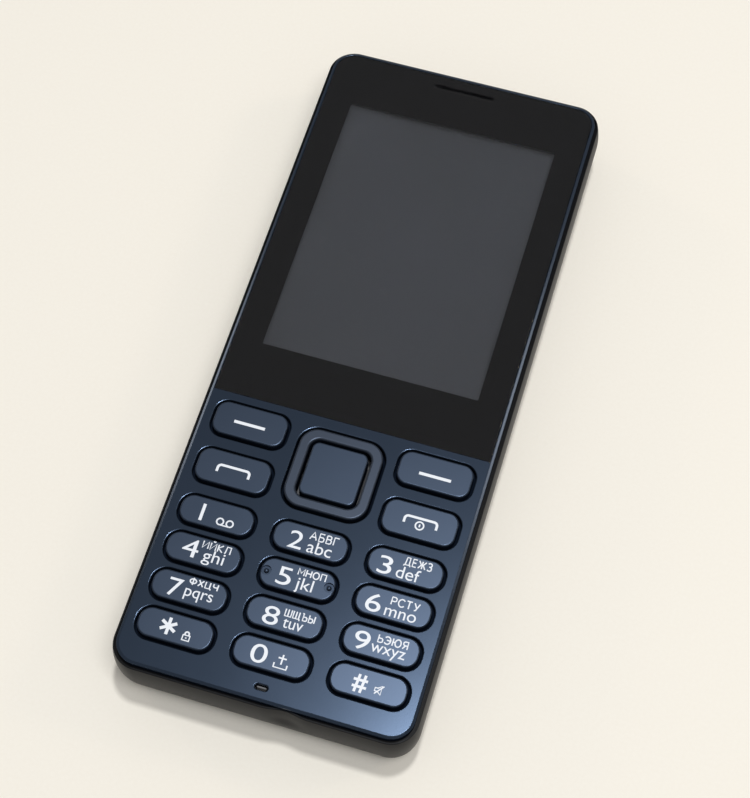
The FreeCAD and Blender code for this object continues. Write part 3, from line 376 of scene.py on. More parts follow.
CLEAR = Finish("clear_window", (250, 250, 250), roughness=0.03, spread=0.02, transmission=1.0,
               ior=1.49, grain_scale=300, grain_depth=0.0)
# Black print, lifted a little above its own colour as painted reflection for the window over it.
PRINT_AND_REFLECTION = Finish("black_print_and_painted_reflection", (23, 23, 25), tint=(27, 27, 30), roughness=0.4, specular=0.0,
               grain_depth=0.0005)
SCREEN = Finish("screen_glass", (68, 71, 76), tint=(73, 76, 84), roughness=0.3, spread=0.02,
                specular=0.0, grain_scale=7000, grain_depth=0.0005)
LEGEND = Finish("legend_ink", (226, 232, 240), tint=(236, 240, 246), roughness=0.45,
                grain_scale=8000, grain_depth=0.001)
MESH_CLOTH = Finish("fine_mesh", (14, 14, 15), tint=(30, 30, 32), roughness=0.5, metallic=0.4,
                    grain_scale=3000, grain_depth=0.05)
SILICONE = Finish("silicone", (96, 98, 102), tint=(108, 110, 114), roughness=0.6, sheen=0.2,
                  grain_scale=2500, grain_depth=0.006)
FOAM = Finish("black_foam", (18, 18, 18), tint=(26, 26, 26), roughness=0.9, grain_scale=4000,
              grain_depth=0.05)
STEEL = Finish("nickel_sheet", (176, 177, 178), metallic=1.0, roughness=0.26, spread=0.16,
               grain_scale=3500, grain_depth=0.002, brushed=True)
SCREW = Finish("screw_steel", (92, 93, 96), metallic=1.0, roughness=0.3, spread=0.2,
               grain_scale=6000, grain_depth=0.002, brushed=True)
TRIM = Finish("turned_trim", (170, 172, 176), metallic=1.0, roughness=0.2, spread=0.12,
              grain_scale=8000, grain_depth=0.001, brushed=True)
GILT = Finish("gilt_contact", (212, 172, 96), tint=(224, 186, 112), metallic=1.0, roughness=0.25,
              grain_scale=4000, grain_depth=0.002)
DARK_METAL = Finish("dark_metal", (30, 31, 33), tint=(38, 39, 42), metallic=0.6, roughness=0.4,
                    grain_scale=5000, grain_depth=0.003)
BOARD = Finish("solder_mask", (14, 66, 44), tint=(20, 80, 54), roughness=0.35, coat=0.4,
               grain_scale=1200, grain_depth=0.004)
CONNECTOR = Finish("connector_moulding", (24, 24, 25), tint=(32, 32, 33), roughness=0.5,
                   grain_scale=4000, grain_depth=0.006)
CAN = Finish("battery_can", (150, 153, 158), tint=(160, 163, 168), metallic=0.7, roughness=0.36,
             coat=0.5, coat_roughness=0.2, grain_scale=2200, grain_depth=0.004)
LAMP = Finish("led_package", (236, 226, 150), tint=(240, 234, 178), roughness=0.4,
              grain_scale=3000, grain_depth=0.003)
LIGHT_GUIDE = Finish("light_pipe", (238, 242, 242), roughness=0.08, spread=0.03, transmission=0.9,
                     ior=1.49, grain_scale=900, grain_depth=0.002)
WHITE_SHEET = Finish("white_guide", (222, 226, 232), tint=(230, 233, 238), roughness=0.4,
                     grain_scale=2000, grain_depth=0.003)
CAMERA_GLASS = Finish("camera_glass", (200, 205, 212), roughness=0.03, spread=0.02,
                      transmission=0.9, ior=1.52, grain_depth=0.0)
ACETAL = Finish("acetal", (44, 44, 46), tint=(50, 50, 52), roughness=0.5, grain_depth=0.004)

NODE_FINISHES: dict[Finish, tuple[str, ...]] = {
    PRINT_AND_REFLECTION: ("window_tape",),
    FOAM: ("lcd_cushion", "microphone_boot"),
    SCREEN: ("lcd_panel",),
    WHITE_SHEET: ("lcd_backlight",),
    STEEL: ("lcd_frame", "microphone", "processor_shield", "radio_shield", "sim_reader_left",
            "sim_reader_right", "card_reader", "micro_usb_socket", "vibration_motor",
            "dome_sheet"),
    DARK_METAL: ("earpiece_speaker", "camera_module", "loudspeaker"),
    MESH_CLOTH: ("earpiece_mesh", "speaker_mesh"),
    SILICONE: ("keypad_mat",),
    ACETAL: ("nav_rocker",),
    BOARD: ("main_board",),
    CONNECTOR: ("battery_connector", "audio_jack", "battery_cap"),
    LAMP: ("torch_led",),
    LIGHT_GUIDE: ("torch_light_guide",),
    CHASSIS: ("rear_chassis",),
    GILT: ("main_antenna",),
    SCREW: ("chassis_screws",),
    CAN: ("battery",),
    CAMERA_GLASS: ("camera_window",),
}


# ------------------------------------------------------------------ workshop
@dataclass
class Workshop:
    """Turns bmesh shapes into dressed pieces."""

    LEVEL = 0.9999
    FLUSH = math.radians(2.0)

    effects: EffectLibrary

    def piece(self, name: str, shape: BMesh, finish: Finish, body: str,
              stands_for: tuple[str, ...] = (), sharp: float = 35.0, in_metres: bool = False) -> None:
        """Finishes a shape as a piece of the phone and puts it on its body.

        Args:
            name: The piece's name.
            shape: Its mesh, which is used up.
            finish: Its finish.
            body: The moving body that it rides on.
            stands_for: The nodes that it replaces.
            sharp: Smallest angle of an edge that stays crisp, in degrees.
            in_metres: Whether the mesh is in metres, as a node's copy is, and not in millimetres.
        """
        if not in_metres:
            bmesh.ops.remove_doubles(shape, verts=shape.verts, dist=MERGE)
            bmesh.ops.recalc_face_normals(shape, faces=shape.faces)
            bmesh.ops.scale(shape, vec=(MM, MM, MM), verts=shape.verts)
        self.crease(shape, math.radians(sharp))
        mesh = bpy.data.meshes.new(name)
        shape.to_mesh(mesh)
        shape.free()
        mesh.materials.append(finish.material(self.effects))
        made = bpy.data.objects.new(name, mesh)
        bpy.context.scene.collection.objects.link(made)
        even = made.modifiers.new("even_normals", "WEIGHTED_NORMAL")
        even.keep_sharp = True
        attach(made, body)
        if stands_for:
            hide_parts(*stands_for)
        log.info("%s on %s, %d faces", name, body, len(mesh.polygons))

    def crease(self, shape: BMesh, sharp: float) -> None:
        """Smooths a shape apart from its crisp edges and the borders of its level faces.

        Args:
            shape: The mesh.
            sharp: Smallest angle of a crisp edge, in radians.
        """
        shape.normal_update()
        for face in shape.faces:
            face.smooth = True
        for edge in shape.edges:
            if len(edge.link_faces) != 2:
                continue
            angle = edge.calc_face_angle(0.0)
            level = [abs(face.normal.z) > self.LEVEL for face in edge.link_faces]
            edge.smooth = angle < sharp and (level[0] == level[1] or angle < self.FLUSH)

    def dress_nodes(self) -> None:
        """Gives every node that is shown as it is its own finish."""
        for finish, nodes in NODE_FINISHES.items():
            for name in nodes:
                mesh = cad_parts[name].data
                mesh.materials.clear()
                mesh.materials.append(finish.material(self.effects))
                log.info("%s dressed as %s", name, finish.name)


def arc(centre: Pair, radius: float, start: float, end: float, steps: int) -> Line:
    """Points along an arc of a profile.

    Args:
        centre: Reach and height of the arc's centre.
        radius: Its radius.
        start: First angle in degrees, counted from straight outwards.
        end: Last angle in degrees.
        steps: Number of stretches.

    Returns:
        The points, both ends included.
    """
    points = []
    for step in range(steps + 1):
        angle = math.radians(start + (end - start) * step / steps)
        points.append((centre[0] + radius * math.cos(angle), centre[1] + radius * math.sin(angle)))
    return points


def wrap(profile: Line, run_x: float, run_y: float, centre: Pair = (0.0, 0.0),
         steps: int = 12, close: bool = True, shape: BMesh | None = None) -> BMesh:
    """Carries a wall profile once round a rectangle with round corners.

    Args:
        profile: Reach out from the corner's centre and height of each point.
        run_x: Half the distance between corner centres along X.
        run_y: Half the distance between corner centres along Y.
        centre: Middle of the rectangle.
        steps: Stretches in each corner.
        close: Whether flat faces close the open ends.
        shape: A mesh to add to, or None for a new one.

    Returns:
        The mesh.
    """
    shape = shape or bmesh.new()
    here = Vector((centre[0], centre[1], 0))
    verts = [shape.verts.new(here + Vector((run_x + reach, -run_y, height)))
             for reach, height in profile]
    chain = [shape.edges.new(pair) for pair in zip(verts, verts[1:])]
    made = list(verts)
    turns = ((run_x, run_y, 0, 2 * run_y), (-run_x, run_y, -2 * run_x, 0),
             (-run_x, -run_y, 0, -2 * run_y), (run_x, -run_y, 2 * run_x, 0))
    for corner_x, corner_y, along_x, along_y in turns:
        grown = bmesh.ops.extrude_edge_only(shape, edges=chain)["geom"]
        moved = [item for item in grown if isinstance(item, BMVert)]
        chain = [item for item in grown if isinstance(item, BMEdge)
                 and item.verts[0] in moved and item.verts[1] in moved]
        bmesh.ops.translate(shape, vec=(along_x, along_y, 0), verts=moved)
        made.extend(moved)
        spun = bmesh.ops.spin(shape, geom=moved + chain, cent=here + Vector((corner_x, corner_y, 0)),
                              axis=UP, dvec=(0, 0, 0), angle=math.pi / 2, steps=steps,
                              use_merge=False, use_duplicate=False)["geom_last"]
        chain = [item for item in spun if isinstance(item, BMEdge)]
    bmesh.ops.remove_doubles(shape, verts=shape.verts, dist=MERGE)
    if close:
        rims = [edge for edge in shape.edges if edge.is_boundary]
        bmesh.ops.holes_fill(shape, edges=rims, sides=0)
    return shape


def lathe(profile: Line, centre: Pair, steps: int) -> BMesh:
    """Turns a profile once round an upright axis.

    Args:
        profile: Radius and height of each point.
        centre: Where the axis stands.
        steps: Stretches round the axis.

    Returns:
        The mesh.
    """
    shape = bmesh.new()
    verts = [shape.verts.new((centre[0] + radius, centre[1], height))
             for radius, height in profile]
    edges = [shape.edges.new(pair) for pair in zip(verts, verts[1:])]
    bmesh.ops.spin(shape, geom=verts + edges, cent=(centre[0], centre[1], 0), axis=UP,
                   dvec=(0, 0, 0), angle=2 * math.pi, steps=steps, use_merge=True,
                   use_duplicate=False)
    bmesh.ops.remove_doubles(shape, verts=shape.verts, dist=MERGE)
    return shape


def node_copy(node: str) -> BMesh:
    """A merged copy of a node's mesh with its flat faces joined, in metres.

    Args:
        node: The node's name.

    Returns:
        The copy.
    """
    shape = bmesh.new()
    shape.from_mesh(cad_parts[node].data)
    bmesh.ops.remove_doubles(shape, verts=shape.verts, dist=1e-7)
    bmesh.ops.dissolve_limit(shape, angle_limit=math.radians(0.5), verts=shape.verts,
                             edges=shape.edges, use_dissolve_boundaries=False)
    return shape


def carved(shape: BMesh, cutters: list[BMesh]) -> BMesh:
    """Cuts closed shapes out of another.

    Args:
        shape: The shape to cut, which is used up.
        cutters: The shapes to take away, which are used up.

    Returns:
        What is left.
    """
    def loose(source: BMesh) -> Object:
        """Puts a shape in a helper object that is removed after the cut.

        Args:
            source: The shape, which is used up.

        Returns:
            The helper.
        """
        bmesh.ops.recalc_face_normals(source, faces=source.faces)
        mesh = bpy.data.meshes.new("blank")
        source.to_mesh(mesh)
        source.free()
        helper = bpy.data.objects.new("blank", mesh)
        bpy.context.scene.collection.objects.link(helper)
        return helper

    blank = loose(shape)
    tools = [loose(cutter) for cutter in cutters]
    for tool in tools:
        cut = blank.modifiers.new("cut", "BOOLEAN")
        cut.operation = "DIFFERENCE"
        cut.solver = "EXACT"
        cut.object = tool
    graph = bpy.context.evaluated_depsgraph_get()
    result = bmesh.new()
    result.from_object(blank, graph)
    for helper in [blank] + tools:
        mesh = helper.data
        bpy.data.objects.remove(helper)
        bpy.data.meshes.remove(mesh)
    return result


# ------------------------------------------------------------------ rear shell
@dataclass
class RearShell:
    """The wrap-round rear cover with its openings, the seat for the camera ring, and its scoop."""

    half_width: float = 24.8
    half_length: float = 59.8
    bulge_height: float = 7.6
    bulge_radius: float = 20.0
    roll_radius: float = 4.0
    back_corner: float = 0.4
    rim_height: float = 11.4
    rim_inset: float = 0.65
    rim_floor: float = 11.0
    rim_round: float = 0.1
    wall: float = 1.0
    camera_y: float = 47.4
    camera_hole: float = 2.8
    ring_seat: float = 4.05
    ring_sink: float = 0.6
    light_x: float = 8.6
    light_hole: float = 1.5
    speaker_x: float = -13.2
    slot_pitch: float = 1.9
    slot_count: int = 4
    jack_x: float = 14.8
    jack_z: float = 5.5
    jack_port: float = 2.8
    usb_z: float = 6.7
    usb_port: Pair = (9.3, 4.4)
    scoop_x: float = 4.4
    scoop_half: float = 3.9
    scoop_depth: float = 0.45
    scoop_low: float = 5.5
    scoop_high: float = 8.5
    scoop_step: float = 0.4
    cut_low: float = -0.5
    cut_high: float = 1.5
    slot_round: float = 0.4
    slot_half: float = 3.6
    usb_corner: float = 1.2
    port_inset: float = 0.5

    def roll_reach(self) -> float:
        """How far the roll's centre lies in from the widest line.

        Returns:
            The distance.
        """
        gap = self.bulge_radius - self.roll_radius
        drop = self.bulge_height - self.roll_radius
        return self.bulge_radius - math.sqrt(gap * gap - drop * drop)

    def wall_profile(self, inset: float, top: float) -> Line:
        """Outer line of the wall from the back face up to the rim.

        Args:
            inset: How far inside the outer form it runs.
            top: Height of its last point.

        Returns:
            Reach from the corner's centre and height of each point.
        """
        reach = self.roll_reach()
        corner = reach + self.back_corner
        roll = (corner - reach, self.roll_radius)
        bulge = (corner - self.bulge_radius, self.bulge_height)
        join = math.degrees(math.atan2(roll[1] - bulge[1], roll[0] - bulge[0]))
        wide = self.bulge_radius - inset
        last = math.degrees(math.asin((top - self.bulge_height) / wide))
        low = arc(roll, self.roll_radius - inset, -90, join, 14)
        high = arc(bulge, wide, join, last, 12)
        return low + high[1:]

    def blank(self) -> BMesh:
        """The shell without its openings.

        Returns:
            A closed mesh.
        """
        corner = self.roll_reach() + self.back_corner
        low = self.rim_height - self.rim_round
        outer = self.wall_profile(0, low)
        inner = self.wall_profile(self.wall, self.rim_floor)
        rim_out = outer[-1][0]
        rim_in = corner - self.rim_inset
        rim = arc((rim_out - self.rim_round, low), self.rim_round, 0, 90, 4)
        rim += arc((rim_in + self.rim_round / 2, self.rim_height - self.rim_round / 2),
                   self.rim_round / 2, 90, 180, 3)
        rim.append((rim_in, self.rim_floor))
        profile = outer[:-1] + rim + inner[::-1]
        shape = wrap(profile, self.half_width - corner, self.half_length - corner, steps=16)
        self.scoop(shape)
        return shape

    def scoop(self, shape: BMesh) -> None:
        """Presses the fingernail scoop softly into the foot wall.

        Args:
            shape: The shell.
        """
        start = self.scoop_x - self.scoop_half
        for step in range(round(2 * self.scoop_half / self.scoop_step) + 1):
            foot = [face for face in shape.faces
                    if face.calc_center_median().y < -self.half_length / 2]
            items = set(foot) | {e for f in foot for e in f.edges} | {v for f in foot for v in f.verts}
            bmesh.ops.bisect_plane(shape, geom=list(items), dist=1e-5,
                                   plane_co=(start + step * self.scoop_step, 0, 0),
                                   plane_no=(1, 0, 0))
        for vert in shape.verts:
            across = (vert.co.x - self.scoop_x) / self.scoop_half
            up = (vert.co.z - self.scoop_low) / (self.scoop_high - self.scoop_low)
            if vert.co.y < -self.half_length / 2 and abs(across) < 1 and up > 0:
                share = min(up, 1.0)
                rise = share * share * (3 - 2 * share)
                vert.co.y += self.scoop_depth * rise * (1 + math.cos(math.pi * across)) / 2

    def cutters(self) -> list[BMesh]:
        """Shapes of every opening.

        Returns:
            Closed meshes to cut away.
        """
        middle, high = (0, self.camera_y), self.cut_high
        port_y = self.half_length - self.port_inset
        cuts = [
            drum(middle, self.camera_hole, self.cut_low, high),
            drum(middle, self.ring_seat, self.cut_low, self.ring_sink),
            drum((self.light_x, self.camera_y), self.light_hole, self.cut_low, high),
            along_length(drum((0, 0), self.jack_port, -high, high, 48),
                         (self.jack_x, port_y, self.jack_z)),
        ]
        for index in range(self.slot_count):
            y = self.camera_y + (index - (self.slot_count - 1) / 2) * self.slot_pitch
            cuts.append(wrap([(self.slot_round, self.cut_low), (self.slot_round, high)],
                             self.slot_half, POINT, (self.speaker_x, y), 8))
        corner = self.usb_corner
        port = wrap([(corner, -high), (corner, high)], self.usb_port[0] / 2 - corner,
                    self.usb_port[1] / 2 - corner, steps=8)
        cuts.append(along_length(port, (0, port_y, self.usb_z)))
        return cuts

    def build(self, shop: Workshop) -> None:
        """Makes the shell."""
        shape = carved(self.blank(), self.cutters())
        shop.piece("rear_shell", shape, SHELL, "rear_cover", ("rear_cover",), 30)


def drum(centre: Pair, radius: float, low: float, high: float, steps: int = 40) -> BMesh:
    """Upright closed cylinder.

    Args:
        centre: Where its axis stands.
        radius: Its radius.
        low: Height of its foot.
        high: Height of its top.
        steps: Sides.

    Returns:
        The mesh.
    """
    shape = bmesh.new()
    bmesh.ops.create_cone(shape, cap_ends=True, segments=steps, radius1=radius, radius2=radius,
                          depth=high - low,
                          matrix=Matrix.Translation((centre[0], centre[1], (low + high) / 2)))
    return shape


def slab(centre: Pair, size: Pair, low: float, high: float) -> BMesh:
    """Closed block.

    Args:
        centre: Where its middle stands.
        size: Width and length.
        low: Height of its foot.
        high: Height of its top.

    Returns:
        The mesh.
    """
    shape = bmesh.new()
    bmesh.ops.create_cube(shape, size=1.0, matrix=Matrix.Translation((*centre, (low + high) / 2))
                          @ Matrix.Diagonal((*size, high - low, 1)))
    return shape


def along_length(shape: BMesh, place: Triple) -> BMesh:
    """Lays an upright shape along the phone's length at a place.

    Args:
        shape: The shape, made round the origin.
        place: Where its middle goes.

    Returns:
        The same mesh.
    """
    turn = Matrix.Translation(place) @ Matrix.Rotation(math.radians(90), 4, "X")
    bmesh.ops.transform(shape, matrix=turn, verts=shape.verts)
    return shape


# ------------------------------------------------------------------ front face
@dataclass
class FrontFace:
    """Front housing, window and its print."""

    face_height: float = 12.4
    outline_half: Pair = (23.8, 58.8)
    outline_corner: float = 3.9
    lip_width: float = 0.8
    shortest_edge: float = 0.03
    rim_softening: float = 0.17
    lip_softening: float = 0.04
    chamfer_foot: float = 12.0
    chamfer_softening: float = 0.06
    chamfer_raised: float = 12.19
    window_softening: float = 0.1
    window_foot: float = 11.54
    print_low: float = 11.55
    print_high: float = 11.6
    seam_y: float = -11.15
    mic_bar: Triple = (1.5, 0.24, -56.62)
    mic_heights: Pair = (11.3, 12.0)
    mic_edge: float = 0.05
    view: Pair = (36.9, 49.55)
    view_y: float = 23.85
    rim_angle: float = 30.0
    seam_play: float = 0.2
    print_half: Pair = (23.2, 45.0)
    print_end: float = 58.2
    print_corner: float = 3.3
    print_foot: float = -11.1
    print_cut: Pair = (9.5, 13.5)
    beyond: float = 60.0
    slit: Triple = (0.36, 5.1, 56.1)
    slit_heights: Pair = (11.0, 12.0)

    def build(self, shop: Workshop) -> None:
        """Makes the housing, the window and the print."""
        self.housing(shop)
        self.window(shop)

    def rims(self, shape: BMesh, height: float, outside: bool) -> list[BMEdge]:
        """Corner edges at one height.

        Args:
            shape: The mesh, in metres.
            height: Their height.
            outside: Whether those of the outer lip are wanted, or those on the flat face.

        Returns:
            The edges.
        """
        found = []
        for edge in shape.edges:
            if len(edge.link_faces) != 2 or edge.calc_face_angle(0.0) < math.radians(self.rim_angle):
                continue
            if any(abs(v.co.z - height * MM) > 1e-6 for v in edge.verts):
                continue
            middle = (edge.verts[0].co + edge.verts[1].co) / 2
            near = all(self.by_outline(place) for place in (*[v.co for v in edge.verts], middle))
            if near == outside and (outside or middle.y < (self.seam_y - self.seam_play) * MM):
                found.append(edge)
        return found

    def by_outline(self, place: Vector) -> bool:
        """Tells whether a place lies on the lip that runs round the face.

        Args:
            place: The place, in metres.

        Returns:
            Whether it does.
        """
        half_x, half_y = self.outline_half
        over_x = abs(place.x) / MM - half_x + self.outline_corner
        over_y = abs(place.y) / MM - half_y + self.outline_corner
        reach = math.hypot(max(over_x, 0.0), max(over_y, 0.0)) + min(max(over_x, over_y), 0.0)
        return reach > self.outline_corner - self.lip_width

    def soften(self, shape: BMesh, edges: list[BMEdge], reach: float,
               segments: int) -> None:
        """Rounds edges.

        Args:
            shape: The mesh, in metres.
            edges: The edges.
            reach: How far the round reaches.
            segments: Strips in the round.
        """
        bmesh.ops.bevel(shape, geom=edges, offset=reach * MM, segments=segments, profile=0.5,
                        affect="EDGES", material=-1, clamp_overlap=False)

    def housing(self, shop: Workshop) -> None:
        """Copies the housing, rounds the rims on its face and lays the microphone's bar.

        Args:
            shop: The workshop that dresses the pieces.
        """
        shape = node_copy("front_housing")
        bmesh.ops.dissolve_degenerate(shape, dist=self.shortest_edge * MM, edges=shape.edges)
        self.soften(shape, self.rims(shape, self.face_height, False), self.rim_softening, 6)
        self.soften(shape, self.rims(shape, self.face_height, True), self.lip_softening, 3)
        self.soften(shape, self.rims(shape, self.chamfer_foot, True), self.chamfer_softening, 4)
        top = self.face_height
        share = (top - self.chamfer_raised) / (top - self.chamfer_foot)
        for vert in shape.verts:
            if self.by_outline(vert.co) and vert.co.z / MM > self.chamfer_foot - self.seam_play:
                vert.co.z = (top - (top - vert.co.z / MM) * share) * MM
        shop.piece("front_frame", shape, DECK, "phone", ("front_housing",), 30, True)
        width, length, y = self.mic_bar
        low, high = self.mic_heights
        half, edge = length / 2, self.mic_edge
        bar = wrap([(half - edge, low), (half, low + edge), (half, high - edge),
                    (half - edge, high)], width / 2 - half, POINT, (0, y), 6)
        shop.piece("microphone_bar", bar, SILICONE, "phone")

    def window(self, shop: Workshop) -> None:
        """Copies the window, rounds its upper edges and lays the print under it.

        Args:
            shop: The workshop that dresses the pieces.
        """
        shape = node_copy("display_window")
        bmesh.ops.dissolve_degenerate(shape, dist=self.shortest_edge * MM, edges=shape.edges)
        self.soften(shape, self.rims(shape, self.face_height, True), self.window_softening, 4)
        for vert in shape.verts:
            if vert.co.z < self.window_foot * MM:
                vert.co.z = self.window_foot * MM
        shop.piece("clear_window", shape, CLEAR, "phone", ("display_window",), 30,
                   True)
        shop.piece("window_print", self.print_shape(), PRINT_AND_REFLECTION, "phone")

    def print_shape(self) -> BMesh:
        """Printed border just inside the window's underside, open over the screen and the slit.

        Returns:
            A thin closed mesh.
        """
        corner, (half_x, half_y) = self.print_corner, self.print_half
        outer = wrap([(corner, self.print_low), (corner, self.print_high)], half_x - corner,
                     half_y - corner, (0, self.print_end - half_y), 12)
        span = self.beyond
        below = slab((0, self.print_foot - span / 2), (span, span), *self.print_cut)
        screen = slab((0, self.view_y), self.view, *self.print_cut)
        reach, run, y = self.slit
        slit = wrap([(reach, height) for height in self.slit_heights], run, POINT, (0, y), 6)
        return carved(outer, [below, screen, slit])


# ------------------------------------------------------------------ keys
@dataclass
class KeyCap:
    """One sprung key cap with its flange."""

    name: str
    x: float
    y: float
    width: float = 12.05
    length: float = 4.75
    corner: float = 2.05
    top: float = 12.95
    deck_low: float = 11.2
    flange_low: float = 10.6
    flange_reach: float = 0.65
    flange_edge: float = 0.1
    flange_play: float = 0.02
    root: float = 0.05
    edge_round: float = 0.24
    draft: float = 0.03
    nub_x: float = 5.1
    nub_radius: float = 0.42
    dimple: float = 0.82
    dimple_depth: float = 0.4

    def profile(self) -> Line:
        """Side line of the flange and the cap, from the underside up.

        Returns:
            Reach and height of each point.
        """
        wall = self.corner
        flange, edge, play = wall + self.flange_reach, self.flange_edge, self.flange_play
        line = [(flange - edge, self.flange_low), (flange, self.flange_low + edge),
                (flange, self.deck_low - edge), (flange - edge, self.deck_low - play),
                (wall + play, self.deck_low - play), (wall, self.deck_low + self.root)]
        line += arc((wall - self.draft - self.edge_round, self.top - self.edge_round),
                    self.edge_round, 0, 90, 6)
        return line

    def build(self, shop: Workshop) -> None:
        """Makes the cap, with its dimples and nubs on the middle key.

        Args:
            shop: The workshop that dresses the pieces.
        """
        shape = wrap(self.profile(), self.width / 2 - self.corner, self.length / 2 - self.corner,
                     (self.x, self.y), 10)
        if self.name == "key_5":
            middles = [self.x + side * self.nub_x for side in (-1, 1)]
            # The dimple floors sink into the painted shade of the flanks, so they are partly painted
            # dark.
            shape = carved(shape, [drum((x, self.y), self.dimple, self.top - self.dimple_depth,
                                        self.top + 1, 28) for x in middles])
            for x in middles:
                self.nub(shape, x)
        shop.piece(self.name + "_cap", shape, KEYS, self.name, (self.name,), 40)

    def nub(self, shape: BMesh, x: float) -> None:
        """Adds a round nub in the middle of a dimple of the cap's face."""
        bmesh.ops.create_uvsphere(
            shape, u_segments=20, v_segments=12, radius=self.nub_radius,
            matrix=Matrix.Translation((x, self.y, self.top - self.dimple_depth)))


@dataclass
class Keypad:
    """All the keys, the four-way ring and the select key."""

    column_pitch: float = 15.5
    row_pitch: float = 6.5
    first_row: float = -32.3
    soft_y: float = -15.8
    call_y: float = -24.35
    nav_y: float = -20.3
    tall_length: float = 5.75
    tall_corner: float = 1.9
    select_size: float = 9.3
    select_corner: float = 1.2
    ring_size: Pair = (13.85, 13.7)
    ring_corner: float = 3.0
    ring_edge: float = 0.3
    ring_top: float = 12.95
    ring_low: float = 10.3
    flange_top: float = 10.7
    overhang: float = 0.65
    hole: float = 10.3
    hole_corner: float = 1.7
    hole_edge: float = 0.35

    def caps(self) -> list[KeyCap]:
        """Every plain key cap.

        Returns:
            The caps by place.
        """
        tall = {"length": self.tall_length, "corner": self.tall_corner}
        caps = [
            KeyCap("soft_key_left", -self.column_pitch, self.soft_y, **tall),
            KeyCap("soft_key_right", self.column_pitch, self.soft_y, **tall),
            KeyCap("call_key", -self.column_pitch, self.call_y, **tall),
            KeyCap("end_key", self.column_pitch, self.call_y, **tall),
        ]
        names = ("1", "2", "3", "4", "5", "6", "7", "8", "9", "star", "0", "hash")
        for index, name in enumerate(names):
            row, column = divmod(index, 3)
            caps.append(KeyCap("key_" + name, (column - 1) * self.column_pitch,
                               self.first_row - row * self.row_pitch))
        return caps

    def build(self, shop: Workshop) -> None:
        """Makes every key.

        Args:
            shop: The workshop that dresses the pieces.
        """
        for cap in self.caps():
            cap.build(shop)
        KeyCap("select_key", 0, self.nav_y, width=self.select_size, length=self.select_size,
               corner=self.select_corner, flange_reach=0.0).build(shop)
        self.ring(shop)

    def ring(self, shop: Workshop) -> None:
        """Makes the four-way ring with its flange.

        Args:
            shop: The workshop that dresses the pieces.
        """
        top, low, corner, edge = self.ring_top, self.ring_low, self.ring_corner, self.ring_edge
        reach = corner + self.overhang
        line = [(reach, low), (reach, self.flange_top), (corner, self.flange_top)]
        line += arc((corner - edge, top - edge), edge, 0, 90, 6)
        shape = wrap(line, self.ring_size[0] / 2 - corner, self.ring_size[1] / 2 - corner,
                     (0, self.nav_y), 12, close=False)
        rim, bend = self.hole_corner, self.hole_edge
        inside = [(rim + bend, top)]
        for angle in map(math.radians, (20, 40, 60, 80, 90)):
            inside.append((rim + bend - bend * math.sin(angle), top - bend * (1 - math.cos(angle))))
        inside.append((rim, low))
        run = self.hole / 2 - rim
        shape = wrap(inside, run, run, (0, self.nav_y), 10, close=False, shape=shape)
        for height in (top, low):
            rims = [edge for edge in shape.edges if edge.is_boundary
                    and all(abs(v.co.z - height) < 1e-4 for v in edge.verts)]
            bmesh.ops.triangle_fill(shape, edges=rims, use_beauty=True, use_dissolve=False,
                                    normal=UP)
        shop.piece("nav_ring_band", shape, RING, "nav_ring", ("nav_ring",), 40)


# ------------------------------------------------------------------ legends
@dataclass(frozen=True)
class Words:
    """A group of characters on a key, fitted between two sides."""

    text: str
    left: float
    right: float
    foot: float
    cap_height: float


@dataclass(frozen=True)
class Stroke:
    """A drawn line of a pictogram, with round ends."""

    points: tuple[Pair, ...]
    width: float = 0.3
    closed: bool = False


Marks = list[Words | Stroke]


def ring_points(x: float, y: float, radius: float) -> tuple[Pair, ...]:
    """Points round a circle.

    Args:
        x: Centre across.
        y: Centre along.
        radius: Radius.

    Returns:
        The points.
    """
    steps = 20
    return tuple((x + radius * math.cos(2 * math.pi * n / steps),
                  y + radius * math.sin(2 * math.pi * n / steps)) for n in range(steps))


def arch_points(left: float, right: float, foot: float, top: float, corner: float) -> tuple[Pair, ...]:
    """Points of a bracket that is open below, with round upper corners.

    Args:
        left: Left leg.
        right: Right leg.
        foot: Lower end of both legs.
        top: Height of the bar.
        corner: Radius of the corners.

    Returns:
        The points from the left foot to the right one.
    """
    points = [(left, foot)]
    points += arc((left + corner, top - corner), corner, 180, 90, 6)
    points += arc((right - corner, top - corner), corner, 90, 0, 6)
    points.append((right, foot))
    return tuple(points)


def bow(x: float, y: float, wide: float, high: float) -> Line:
    """An oval drawn as one line.

    Args:
        x: Centre across.
        y: Centre along.
        wide: Half its width.
        high: Half its height.

    Returns:
        The points, the first again at the end.
    """
    return [(x + wide * math.cos(math.radians(a)), y + high * math.sin(math.radians(a)))
            for a in range(0, 361, 20)]


